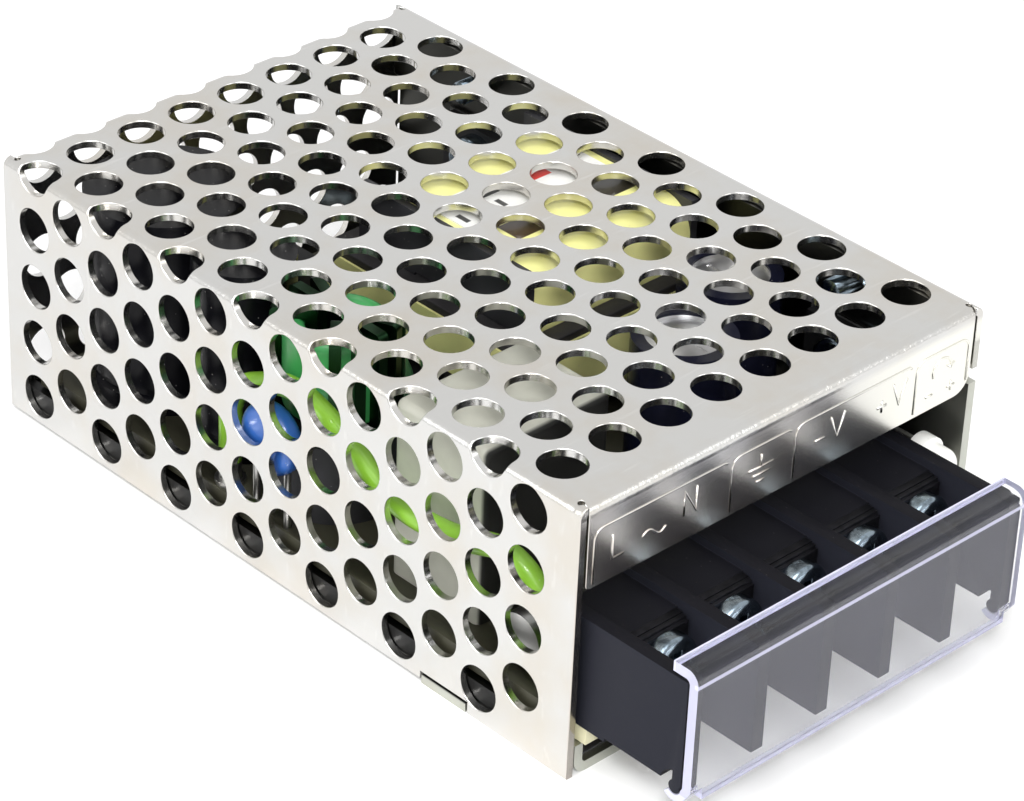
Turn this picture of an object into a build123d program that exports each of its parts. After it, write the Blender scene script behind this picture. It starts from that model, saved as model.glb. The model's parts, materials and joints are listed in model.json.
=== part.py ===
# Switching power supply in a case folded from perforated steel.
# The frame: X is across the case, the terminal side faces -Y, +Z is up.
# The origin is the middle of the case on its underside. Millimetres.
from build123d import *
import math
import os

# Case
case_width = 51.0
case_length = 78.0
case_height = 28.0
cover_sheet = 0.8
chassis_sheet = 1.0
fold_radius = 1.0
fold_neutral_depth = 0.13
sheet_gap = 0.05
seat_gap = 0.02
cut_over = 1.0
head_round_share = 1 / 3

# Perforation of the cover
hole_radius = 2.25
hole_sides = 12
hole_pitch = 6.2
row_pitch = 5.184
rows_on_top = 15
columns_on_top = 8
side_columns = 4
rear_rows = 4
first_row_past_rear = 0.756
first_column_inset = 0.8
hole_edge_web = 0.5

# Edges of the cover
flap_slit = 0.25
relief_radius = 0.3
strip_above_block = 3.0
strip_corner_radius = 2.0
strip_small_radius = 0.6
right_flap_height = 6.5
rear_flap_lift = 0.8
side_flap_lift = 0.4
side_notch_length = 6.1
side_notch_lift = 1.2
side_notch_from_front = 12.6

# Chassis tray
tray_bend_radius = 1.5
joggle_bend_radius = 0.5
tray_left_height = 3.2
tray_rear_height = 3.2
tray_rear_width = 40.0
joggle_margin = 0.2
tray_top_gap = 0.1
tray_end_gap = 0.1
mount_thread_radius = 1.25
mount_collar_radius = 2.3
mount_collar_height = 1.2
mount_base_spacing = 55.0
mount_side_spacing = 30.0
mount_side_height = 9.0
tab_side_gap = 0.2

# Circuit board and what holds it
board_thickness = 1.6
board_under = 3.4
board_left_inset = 1.5
board_front_overhang = 0.6
board_wall_gap = 1.2
board_rear_gap = 1.0
standoff_radius = 2.5
standoff_bore_radius = 1.5
standoff_floor = 0.3
screw_thread_radius = 1.45
board_screw_head_radius = 2.75
board_screw_head_height = 1.9
board_screw_hole_radius = 1.65
board_screw_inset = 3.4
board_screw_rear_x = 0.6
board_screw_rear_y = 33.8
board_screw_left_x = -8.2
board_screw_left_y = -6.0
board_screw_front_x = 6.0
board_screw_front_y = -31.4
film_thickness = 0.2
film_edge_gap = 0.8
film_hole_gap = 0.4
lead_radius = 0.35
lead_hole_radius = 0.45
lead_tail = 1.0

# Screws that hold the cover
cover_screw_head_radius = 2.3
cover_screw_shank_radius = 1.2
cover_screw_length = 5.0
cover_screw_drop = 3.1
cover_screw_spacing = 50.0
cover_screw_slot_width = 0.7
cover_screw_slot_length = 2.6
cover_screw_slot_depth = 0.5

# Terminal block
pole_count = 5
pole_pitch = 8.1
block_wall = 1.45
block_left_inset = 1.48
block_top = 16.4
block_wall_under = 5.35
block_front = 50.9
block_body_front = 41.8
block_rear = 35.0
block_rib_rise = 0.9
screw_height = 12.4
plate_thickness = 0.8
plate_width = 6.3
plate_height = 6.2
plate_tail_back = 3.2
plate_tail_width = 1.6
plate_tail_thickness = 0.7
clamp_thickness = 0.8
clamp_width = 6.0
clamp_height = 5.6
clamp_lip = 0.3
clamp_play = 0.1
screw_head_radius = 2.9
screw_head_height = 1.7
screw_head_round = 0.6
screw_shank_radius = 1.45
screw_shank_length = 5.4
screw_hole_play = 0.06
screw_bore_play = 0.25
cross_width = 0.95
cross_length = 3.4
cross_depth = 1.1

# Clear terminal cover
hinge_forward = 50.1
hinge_height = 5.15
knuckle_radius = 0.65
knuckle_play = 0.1
curl_thickness = 0.7
curl_start = 180.0
curl_sweep = 139.0
lid_panel_gap = 0.15
lid_panel_thickness = 1.0
lid_lip_thickness = 1.05
lid_lip_gap = 0.35
lid_lip_depth = 2.95
lid_outer_radius = 1.3
lid_inner_radius = 0.5
lid_foot_lift = 0.35
lid_skirt_drop = 0.95
notch_play = 0.12
neck_half = 0.3

# Transformer
coil_length = 20.6
coil_width = 23.0
coil_top_gap = 0.9
coil_corner_radius = 3.5
coil_lift = 1.9
coil_mid_x = 10.2
coil_mid_y = 4.3
core_height = 7.0
core_plate = 2.2
core_leg = 2.0
core_centre_width = 7.0
core_play = 0.15
bobbin_wall = 1.1
bobbin_flange = 0.9
bobbin_flange_rise = 0.35
bobbin_foot_height = 1.5
bobbin_pin_inset = 1.3
bobbin_pins = 4
tape_thickness = 0.25
tape_margin = 0.8
tape_above_collar = 2.6
label_thickness = 0.15
label_width = 6.0
label_length = 18.6
label_shift = 1.2

# Electrolytic capacitors: radius, gap under the cover and place of each
can_wall = 0.25
can_rim = 1.0
can_groove_height = 2.2
can_groove_depth = 0.5
can_groove_width = 1.2
can_groove_slope = 0.3
can_dish = 0.35
vent_width = 0.4
vent_depth = 0.15
can_lead_share = 0.3
vent_reach_share = 0.8
bulk_rear_radius = 8.0
bulk_rear_top_gap = 1.4
bulk_rear_x = -14.6
bulk_rear_y = 28.0
bulk_front_radius = 5.0
bulk_front_top_gap = 1.8
bulk_front_x = -16.4
bulk_front_y = 14.6
output_near_radius = 5.0
output_near_top_gap = 3.2
output_near_x = 6.0
output_near_y = -20.6
output_far_radius = 5.0
output_far_top_gap = 3.2
output_far_x = 17.2
output_far_y = -15.6

# Line choke
choke_x = -15.4
choke_y = 2.6
choke_outer_radius = 6.2
choke_inner_radius = 3.0
choke_core_height = 9.0
choke_turn_radius = 0.55
choke_turns = 5
choke_turn_step = 22.0
choke_leads = 4
choke_base_radius = 6.6
choke_top_gap = 2.8
choke_round = 0.8

# Box, disc and slab parts
box_left_x = -20.8
box_front_y = -22.6
box_length = 15.6
box_depth = 11.6
box_top_gap = 3.6
box_round = 0.8
disc_radius = 3.6
disc_thickness = 2.2
disc_round_share = 0.4
disc_lead_share = 0.6
disc_sink_share = 0.1
disc_x = -23.2
disc_y = 2.6
disc_height = 8.6
pair_x = -1.4
pair_y = -13.6
pair_height = 6.2
thermistor_radius = 4.0
thermistor_thickness = 3.2
thermistor_x = -6.6
thermistor_y = 6.4
thermistor_height = 6.6
bridge_x = -4.6
bridge_y = 25.6
bridge_length = 14.4
bridge_depth = 3.4
bridge_height = 10.4
bridge_lift = 2.0
bridge_leads = 4
fuse_x = -13.2
fuse_y = -29.2
fuse_radius = 2.5
fuse_length = 18.0
fuse_cap_length = 4.2
fuse_cap_wall = 0.2
fuse_lift = 0.6
chip_x = -0.4
chip_y = -29.0
chip_length = 6.4
chip_width = 4.6
chip_height = 3.4
chip_lift = 0.4
chip_round = 0.3
small_chip_x = 13.0
small_chip_y = 27.6
small_chip_length = 9.4
small_chip_width = 6.4
chip_lead_rows = 2
resistor_radius = 1.15
resistor_length = 6.3
resistor_waist = 0.25
resistor_cap = 1.575
resistor_lift = 0.2
resistor_x = 4.4
resistor_y = 20.8
resistor_pitch = 2.8
resistor_count = 4

# Power semiconductors on the right wall
device_body_width = 10.0
device_body_below_hole = 2.9
device_body_depth = 3.0
device_edge = 0.43
device_tab_below_flap = 1.5
device_tab_thickness = 1.3
device_lift = 0.5
device_hole_from_top = 3.2
device_hole_radius = 1.8
device_lead_pitch = 2.54
device_leads = 3
device_pad_thickness = 0.3
device_pad_margin = 0.6
device_screw_head_radius = 2.7
device_screw_head_height = 1.8
transistor_y = 24.6
diode_y = -25.4

# Output choke
drum_x = 14.2
drum_y = -26.6
drum_radius = 4.6
drum_height = 9.6
drum_flange = 1.3
drum_waist_radius = 2.6
drum_wire_radius = 0.55

# Adjuster and lamp
trimmer_x = 20.9
trimmer_back_from_front = 2.6
trimmer_width = 5.2
trimmer_depth = 4.8
trimmer_height = 6.8
trimmer_round = 0.3
rotor_radius = 1.75
rotor_play = 0.06
rotor_depth = 2.0
rotor_proud = 0.5
rotor_slot_width = 0.6
rotor_slot_depth = 0.6
rotor_lift = 4.2
lamp_x = 20.0
lamp_height = 14.0
lamp_radius = 1.5
lamp_flange_radius = 1.9
lamp_flange_length = 1.6
lamp_nose_forward = 41.8
lamp_length = 4.4
lamp_lead_side = 0.5
lamp_lead_pitch = 2.0
lamp_lead_run = 6.4

# Earth wire inside the left wall
wire_radius = 1.1
wire_lug_radius = 1.5
wire_lug_thickness = 0.5
wire_arc_share = 0.45
wire_route = [
    (-21.6, -33.1, 6.4),
    (-21.6, -33.1, 12.4),
    (-22.6, -28.2, 17.4),
    (-22.7, -22.0, 15.0),
    (-22.8, -14.0, 14.2),
    (-22.6, -6.0, 18.4),
    (-22.3, 1.0, 20.0),
    (-22.3, 9.6, 15.6),
    (-22.3, 9.6, 7.4),
]

# Places worked out from the sizes
left = -case_width / 2
right = case_width / 2
front = -case_length / 2
rear = case_length / 2
fold_arc = math.pi / 2 * (fold_radius - fold_neutral_depth)
top_flat_left = left + fold_radius
top_flat_rear = rear - fold_radius
fold_z = case_height - fold_radius
flap_inner_left = left + cover_sheet + flap_slit
flap_inner_right = right - cover_sheet - flap_slit
cover_under = case_height - cover_sheet
strip_height = case_height - block_top - strip_above_block
tray_left = left + cover_sheet + sheet_gap
tray_right_top = right - cover_sheet - sheet_gap
wall_inner = right - chassis_sheet
tray_rear = rear - cover_sheet - sheet_gap
board_top = board_under + board_thickness
board_left = left + board_left_inset
board_right = wall_inner - board_wall_gap
board_front = front - board_front_overhang
board_rear = tray_rear - chassis_sheet - board_rear_gap
block_left = left + block_left_inset
block_right = block_left + pole_count * pole_pitch + block_wall
plate_front = -block_body_front - plate_thickness
clamp_rear = plate_front - clamp_play
clamp_front = clamp_rear - clamp_thickness
choke_base_top = cover_under - choke_top_gap - choke_core_height - 4 * choke_turn_radius
joggle_top = case_height - right_flap_height - sheet_gap
joggle_low = joggle_top - joggle_margin - cover_sheet
device_base = board_top + device_lift
device_top = case_height - right_flap_height - device_tab_below_flap
device_hole_z = device_top - device_hole_from_top
through = cover_sheet + cut_over
lead_places = []


def slab(x0, x1, y0, y1, z0, z1):
    # A box between two opposite corners.
    return Pos((x0 + x1) / 2, (y0 + y1) / 2, (z0 + z1) / 2) * Box(x1 - x0, y1 - y0, z1 - z0)


def post(x, y, z0, z1, radius):
    # An upright cylinder.
    return Pos(x, y, (z0 + z1) / 2) * Cylinder(radius, z1 - z0)


def bar_y(x, z, y0, y1, radius):
    # A cylinder along Y.
    return Pos(x, (y0 + y1) / 2, z) * Rot(90, 0, 0) * Cylinder(radius, y1 - y0)


def bar_x(y, z, x0, x1, radius):
    # A cylinder along X.
    return Pos((x0 + x1) / 2, y, z) * Rot(0, 90, 0) * Cylinder(radius, x1 - x0)


def lead(x, y, top):
    # A tinned wire from under the board up to a part, and its hole in the board.
    lead_places.append((x, y))
    return post(x, y, board_under - lead_tail, top, lead_radius)


def cross_slots(length, width, deep):
    # The tools for a cross recess, cut down from local Z = 0.
    return [
        slab(-length / 2, length / 2, -width / 2, width / 2, -deep, cut_over),
        slab(-width / 2, width / 2, -length / 2, length / 2, -deep, cut_over),
    ]


# The cover, folded from one perforated sheet

def fold_band(length):
    # A quarter ring along Y: the fold between the top and a flap, in the fold's own frame.
    ring = Pos(0, 0, -fold_radius) * Rot(90, 0, 0) * Cylinder(fold_radius, length)
    bore = Pos(0, 0, -fold_radius) * Rot(90, 0, 0) * Cylinder(fold_radius - cover_sheet, length + cut_over)
    keep = slab(0, fold_radius, -length / 2, length / 2, -fold_radius, 0)
    return (ring - bore) & keep


def flap(length, depth):
    # A fold with its flat flap, hanging from the top sheet's flat edge at local X = 0.
    plate = slab(fold_radius - cover_sheet, fold_radius, -length / 2, length / 2, -depth, -fold_radius)
    return fold_band(length) + plate


def round_hole(depth):
    # The tool for one perforation, upright: many-sided, as wide on average as the round hole.
    corner = hole_radius * (1 + 1 / math.cos(math.pi / hole_sides)) / 2
    return extrude(RegularPolygon(corner, hole_sides, rotation=180 / hole_sides), depth, both=True)


def fold_hole(past_flat):
    # The tool for a hole that crosses a fold: past_flat is how far its centre lies
    # beyond the end of the top's flat, measured along the unfolded sheet.
    reach = 2 * hole_radius
    on_top = Pos(past_flat, 0, 0) * round_hole(through)
    on_top = on_top & slab(-reach, 0, -reach, reach, -fold_radius, cut_over)
    past_fold = past_flat - fold_arc
    on_flap = Pos(fold_radius, 0, -fold_radius - past_fold) * Rot(0, 90, 0) * round_hole(through)
    below_fold = -fold_radius - reach
    on_flap = on_flap & slab(-cut_over, fold_radius + cut_over, -reach, reach, below_fold, -fold_radius)
    half_top = math.sqrt(hole_radius**2 - past_flat**2)
    half_flap = math.sqrt(hole_radius**2 - past_fold**2)
    chord = fold_radius * math.sqrt(2)
    outline = Polyline((0, -half_top), (chord, -half_flap), (chord, half_flap), (0, half_top), close=True)
    wedge = Rot(0, 45, 0) * extrude(make_face(outline), fold_radius, both=True)
    wedge = wedge & slab(0, fold_radius + cut_over, -reach, reach, -fold_radius, cut_over)
    return [on_top, on_flap, wedge]


def row_columns(row):
    # Every second row starts half a pitch further in and crosses no side fold.
    if row % 2 == 0:
        return [column + 0.5 for column in range(columns_on_top)]
    return list(range(columns_on_top))


def perforation():
    tools = []
    first_x = left + first_column_inset
    first_y = rear + first_row_past_rear
    side_start = top_flat_left - first_x
    rear_start = first_y - top_flat_rear
    for row in range(rows_on_top):
        y = first_y - row * row_pitch
        for column in row_columns(row):
            x = first_x + column * hole_pitch
            if row == 0:
                place = Pos(x, top_flat_rear, case_height) * Rot(0, 0, 90)
                tools += [place * tool for tool in fold_hole(rear_start)]
            elif column == 0:
                place = Pos(top_flat_left, y, case_height) * Rot(0, 0, 180)
                tools += [place * tool for tool in fold_hole(side_start)]
            else:
                tools.append(Pos(x, y, case_height) * round_hole(through))
        if row > 0:
            shift = 0.5 if row % 2 == 0 else 1
            for step in range(side_columns):
                z = fold_z - side_start - (step + shift) * hole_pitch + fold_arc
                if z - hole_radius > side_flap_lift + hole_edge_web:
                    tools.append(Pos(left, y, z) * Rot(0, 90, 0) * round_hole(through))
    for row in range(1, rear_rows + 1):
        z = fold_z - rear_start - row * row_pitch + fold_arc
        for column in row_columns(row):
            x = first_x + column * hole_pitch
            inside = x - hole_radius > left + cover_sheet
            if inside and z - hole_radius > rear_flap_lift + hole_edge_web:
                tools.append(Pos(x, rear, z) * Rot(90, 0, 0) * round_hole(through))
    return tools


def front_strip():
    # The flap over the terminals, its lower corners rounded. Local +Y is the right end.
    width = flap_inner_right - flap_inner_left
    depth = strip_height - fold_radius
    face = Rectangle(width, depth)
    lower = face.vertices().group_by(Axis.Y)[0].sort_by(Axis.X)
    face = fillet(lower[-1], strip_corner_radius)
    lower = face.vertices().group_by(Axis.Y)[0].sort_by(Axis.X)
    face = fillet(lower[0], strip_small_radius)
    place = Pos(fold_radius - cover_sheet, 0, -fold_radius - depth / 2)
    plate = extrude(place * (Plane.YZ * face), cover_sheet)
    return fold_band(width) + plate


def mesh_cover():
    flat_width = case_width - 2 * fold_radius
    flat_length = case_length - 2 * fold_radius
    body = Pos(0, 0, case_height - cover_sheet / 2) * Box(flat_width, flat_length, cover_sheet)
    body += Pos(top_flat_left, 0, case_height) * Rot(0, 0, 180) * flap(case_length, case_height)
    body += Pos(-top_flat_left, 0, case_height) * flap(case_length, right_flap_height)
    span = flap_inner_right - flap_inner_left
    rear_flap = flap(span, case_height - rear_flap_lift)
    body += Pos(0, top_flat_rear, case_height) * Rot(0, 0, 90) * rear_flap
    body += Pos(0, -top_flat_rear, case_height) * Rot(0, 0, -90) * front_strip()
    body -= perforation()
    notch_front = front + side_notch_from_front
    notch_rear = notch_front + side_notch_length
    edge_left = left - cut_over
    edge_right = left + cover_sheet + cut_over
    side_cuts = [
        slab(edge_left, edge_right, notch_rear, rear + cut_over, -cut_over, side_flap_lift),
        slab(edge_left, edge_right, notch_front, notch_rear, -cut_over, side_notch_lift),
    ]
    body -= side_cuts
    reliefs = []
    for x in (top_flat_left, -top_flat_left):
        for y in (-top_flat_rear, top_flat_rear):
            reliefs.append(post(x, y, fold_z - cut_over, case_height + cut_over, relief_radius))
    body -= reliefs
    for y in (-cover_screw_spacing / 2, cover_screw_spacing / 2):
        body -= cover_screw_form(y, cover_screw_head_radius + seat_gap, cover_screw_shank_radius + seat_gap)
    return body


def cover_screw_form(y, head_radius, shank_radius):
    # The outer form of a countersunk screw driven in from the right.
    sink = head_radius - shank_radius
    head = Pos(right - sink / 2, y, case_height - cover_screw_drop) * Rot(0, 90, 0) * Cone(
        shank_radius, head_radius, sink
    )
    shank = bar_x(y, case_height - cover_screw_drop, right - cover_screw_length, right - sink, shank_radius)
    return head + shank


def cover_screws():
    screws = []
    for y in (-cover_screw_spacing / 2, cover_screw_spacing / 2):
        screw = cover_screw_form(y, cover_screw_head_radius, cover_screw_shank_radius)
        place = Pos(right, y, case_height - cover_screw_drop) * Rot(0, 90, 0)
        slots = cross_slots(cover_screw_slot_length, cover_screw_slot_width, cover_screw_slot_depth)
        screws.append(screw - [place * slot for slot in slots])
    return Compound(screws)


# The chassis tray: floor, left lip, joggled right wall and rear lip in one sheet

def tray_profile():
    wall_top = cover_under - tray_top_gap
    outline = [
        (tray_left, tray_left_height),
        (tray_left, 0),
        (right, 0),
        (right, joggle_low),
        (tray_right_top, joggle_low + cover_sheet + sheet_gap),
        (tray_right_top, wall_top),
    ]
    radii = [tray_bend_radius, tray_bend_radius, joggle_bend_radius, joggle_bend_radius]
    outer = Wire(FilletPolyline(*outline, radius=radii).edges())
    return make_face(outer.offset_2d(chassis_sheet, kind=Kind.ARC, side=Side.LEFT, closed=True).edges())


def chassis():
    length = tray_rear - tray_end_gap - front
    face = Pos(0, front, 0) * Rot(90, 0, 0) * tray_profile()
    body = extrude(face, -length)
    lip = slab(
        -tray_rear_width / 2, tray_rear_width / 2,
        tray_rear - tray_end_gap - chassis_sheet, tray_rear - tray_end_gap,
        0, tray_rear_height,
    )
    body += lip
    # Above its joggle the right wall stands back behind the strip of the cover.
    body -= slab(
        tray_right_top - 2 * chassis_sheet, right + cut_over,
        front - cut_over, front + cover_sheet + sheet_gap,
        joggle_low - joggle_bend_radius, case_height,
    )
    notch_front = front + side_notch_from_front
    tab_front = notch_front + tab_side_gap
    tab_rear = notch_front + side_notch_length - tab_side_gap
    body += slab(left, tray_left + tray_bend_radius, tab_front, tab_rear, 0, chassis_sheet)
    for y in (-mount_base_spacing / 2, mount_base_spacing / 2):
        body += post(0, y, 0, chassis_sheet + mount_collar_height, mount_collar_radius)
        body -= post(0, y, -cut_over, board_under, mount_thread_radius)
    for y in (-mount_side_spacing / 2, mount_side_spacing / 2):
        inner = wall_inner - mount_collar_height
        body += bar_x(y, mount_side_height, inner, right, mount_collar_radius)
        body -= bar_x(y, mount_side_height, inner - cut_over, right + cut_over, mount_thread_radius)
    for y in (-cover_screw_spacing / 2, cover_screw_spacing / 2):
        body -= cover_screw_form(y, cover_screw_head_radius + seat_gap, cover_screw_shank_radius + seat_gap)
    for y in (transistor_y, diode_y):
        hole_radius = screw_thread_radius + seat_gap
        body -= bar_x(y, device_hole_z, wall_inner - cut_over, right + cut_over, hole_radius)
    return body


# The board, its film and its posts

def board_screw_places():
    return [
        (board_right - board_screw_inset, board_rear - board_screw_inset),
        (board_screw_rear_x, board_screw_rear_y),
        (board_screw_left_x, board_screw_left_y),
        (board_screw_front_x, board_screw_front_y),
    ]


def standoffs():
    posts = []
    for x, y in board_screw_places():
        body = post(x, y, chassis_sheet, board_under, standoff_radius)
        body -= post(x, y, chassis_sheet + standoff_floor, board_under + cut_over, standoff_bore_radius)
        posts.append(body)
    return Compound(posts)


def board_screws():
    screws = []
    for x, y in board_screw_places():
        low = chassis_sheet + standoff_floor + seat_gap
        body = post(x, y, low, board_top, screw_thread_radius)
        head = post(x, y, board_top, board_top + board_screw_head_height, board_screw_head_radius)
        body += fillet(head.edges().group_by(Axis.Z)[-1], board_screw_head_height * head_round_share)
        place = Pos(x, y, board_top + board_screw_head_height)
        screws.append(body - [place * slot for slot in cross_slots(cross_length, cross_width, cross_depth)])
    return Compound(screws)


def insulating_film():
    body = slab(
        tray_left + chassis_sheet + film_edge_gap, board_right,
        front + film_edge_gap, board_rear, chassis_sheet, chassis_sheet + film_thickness,
    )
    for x, y in board_screw_places():
        body -= post(x, y, 0, board_under, standoff_radius + film_hole_gap)
    for y in (-mount_base_spacing / 2, mount_base_spacing / 2):
        body -= post(0, y, 0, board_under, mount_collar_radius + film_hole_gap)
    return body


def circuit_board():
    body = slab(board_left, board_right, board_front, board_rear, board_under, board_top)
    tools = [
        post(x, y, board_under - cut_over, board_top + cut_over, board_screw_hole_radius)
        for x, y in board_screw_places()
    ]
    tools += [
        post(x, y, board_under - cut_over, board_top + cut_over, lead_hole_radius)
        for x, y in lead_places
    ]
    for x in pole_centres():
        half_wide = plate_tail_width / 2 + seat_gap
        tail_front = -block_body_front + plate_tail_back
        tools.append(slab(
            x - half_wide, x + half_wide, tail_front - seat_gap,
            tail_front + plate_tail_thickness + seat_gap, board_under - cut_over, board_top + cut_over,
        ))
    return body - tools


# The terminal block

def pole_centres():
    return [block_left + (block_wall + pole_pitch) / 2 + pole * pole_pitch for pole in range(pole_count)]


def block_wall_form(x0, hinged):
    # One barrier wall. The two outer ones have a hinge knuckle at the lower front corner.
    wall = slab(x0, x0 + block_wall, -block_front, -block_body_front, block_wall_under, block_top)
    if not hinged:
        return wall
    sweep = knuckle_radius + knuckle_play + curl_thickness + notch_play
    room = bar_x(-hinge_forward, hinge_height, x0 - cut_over, x0 + block_wall + cut_over, sweep)
    behind = -hinge_forward + neck_half
    room = room & slab(
        x0 - cut_over, x0 + block_wall + cut_over, behind, behind + 2 * sweep,
        hinge_height - 2 * sweep, hinge_height + 2 * sweep,
    )
    wall -= room
    wall += bar_x(-hinge_forward, hinge_height, x0, x0 + block_wall, knuckle_radius)
    return wall


def terminal_block():
    body = slab(block_left, block_right, -block_body_front, -block_rear, board_top, block_top)
    # Each barrier wall runs on over the body as a low rib.
    for x in pole_centres():
        half = (pole_pitch - block_wall) / 2
        body -= slab(
            x - half, x + half, -block_body_front - cut_over, -block_rear + cut_over,
            block_top - block_rib_rise, block_top + cut_over,
        )
    for wall in range(pole_count + 1):
        body += block_wall_form(block_left + wall * pole_pitch, wall in (0, pole_count))
    for x in pole_centres():
        bore_end = clamp_front + screw_shank_length + seat_gap
        bore_radius = screw_shank_radius + screw_bore_play
        body -= bar_y(x, screw_height, -block_body_front - cut_over, bore_end, bore_radius)
        half_wide = plate_tail_width / 2 + seat_gap
        tail_front = -block_body_front + plate_tail_back
        tail_rear = tail_front + plate_tail_thickness
        body -= slab(
            x - half_wide, x + half_wide, -block_body_front - cut_over, tail_rear + seat_gap,
            board_top - cut_over, board_top + plate_tail_thickness + seat_gap,
        )
    return body


def terminal_contact(x):
    # A threaded plate against the block's face, with a tail that turns back under the
    # block and down through the board.
    half = plate_width / 2
    low = screw_height - plate_height / 2
    face = -block_body_front
    body = slab(x - half, x + half, plate_front, face, low, screw_height + plate_height / 2)
    hole_radius = screw_shank_radius + screw_hole_play
    body -= bar_y(x, screw_height, plate_front - cut_over, face + cut_over, hole_radius)
    tail = plate_tail_width / 2
    tail_front = face + plate_tail_back
    body += slab(x - tail, x + tail, plate_front, face, board_top, low)
    body += slab(x - tail, x + tail, plate_front, tail_front, board_top, board_top + plate_tail_thickness)
    body += slab(
        x - tail, x + tail, tail_front, tail_front + plate_tail_thickness,
        board_under - lead_tail, board_top + plate_tail_thickness,
    )
    return body


def terminal_contacts():
    return Compound([terminal_contact(x) for x in pole_centres()])


def terminal_clamp(x):
    # The square washer that presses on the wire, with two lips turned back.
    half = clamp_width / 2
    low = screw_height - clamp_height / 2
    high = screw_height + clamp_height / 2
    body = slab(x - half, x + half, clamp_front, clamp_rear, low, high)
    for z0, z1 in ((low - clamp_lip, low), (high, high + clamp_lip)):
        body += slab(x - half, x + half, clamp_front + clamp_lip, clamp_rear, z0, z1)
    hole_radius = screw_shank_radius + screw_hole_play
    return body - bar_y(x, screw_height, clamp_front - cut_over, clamp_rear + cut_over, hole_radius)


def terminal_screw(x):
    seat = clamp_front - seat_gap
    head = bar_y(x, screw_height, seat - screw_head_height, seat, screw_head_radius)
    head = fillet(head.edges().group_by(Axis.Y)[0], screw_head_round)
    shank = bar_y(x, screw_height, seat, seat + screw_shank_length, screw_shank_radius)
    place = Pos(x, seat - screw_head_height, screw_height) * Rot(90, 0, 0)
    slots = [place * slot for slot in cross_slots(cross_length, cross_width, cross_depth)]
    return head + shank - slots


# The clear cover, whose ends hook round the knuckles

def terminal_cover():
    panel_inner = -block_front - lid_panel_gap
    panel_outer = panel_inner - lid_panel_thickness
    lip_under = block_top + lid_lip_gap
    lip_top = lip_under + lid_lip_thickness
    lip_rear = panel_outer + lid_lip_depth
    foot = hinge_height + lid_foot_lift
    outline = Polyline(
        (lip_rear, lip_top), (panel_outer, lip_top), (panel_outer, foot),
        (panel_inner, foot), (panel_inner, lip_under), (lip_rear, lip_under), close=True,
    )
    face = make_face(outline)
    outer_corner = [v for v in face.vertices() if v.Y > lip_under + sheet_gap and v.X < panel_inner]
    face = fillet(outer_corner, lid_outer_radius)
    inner_corner = [
        v for v in face.vertices()
        if abs(v.Y - lip_under) < sheet_gap and abs(v.X - panel_inner) < sheet_gap
    ]
    face = fillet(inner_corner, lid_inner_radius)
    inner = knuckle_radius + knuckle_play
    outer = inner + curl_thickness
    curl = Circle(outer) - Circle(inner)
    corners = [curl_start + curl_sweep * step / 3 for step in range(4)]
    corners = [math.radians(angle) for angle in corners]
    rays = [(2 * outer * math.cos(angle), 2 * outer * math.sin(angle)) for angle in corners]
    wedge = make_face(Polyline((0, 0), *rays, close=True))
    curl = curl & wedge
    mid = (inner + outer) / 2
    web_angle = math.radians(curl_start + curl_sweep / 4)
    web = make_face(Polyline(
        (panel_outer + hinge_forward, lid_foot_lift),
        (panel_inner + hinge_forward, lid_foot_lift),
        (-inner, 0),
        (mid * math.cos(web_angle), mid * math.sin(web_angle)),
        (outer * math.cos(web_angle), outer * math.sin(web_angle)),
        close=True,
    ))
    hook = Pos(-hinge_forward, hinge_height) * (curl + web)
    cover = extrude(Pos(block_left, 0, 0) * (Plane.YZ * face), block_right - block_left)
    for start in (block_left, block_right - block_wall):
        cover += extrude(Pos(start, 0, 0) * (Plane.YZ * hook), block_wall)
    cover += slab(
        block_left + block_wall, block_right - block_wall, panel_outer, panel_inner,
        hinge_height - lid_skirt_drop, foot,
    )
    return cover


# The transformer

def rounded_block(x0, x1, y0, y1, z0, z1, radius):
    # A block along X whose four long edges are rounded.
    block = slab(x0, x1, y0, y1, z0, z1)
    return fillet(block.edges().filter_by(Axis.X), radius)


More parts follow.
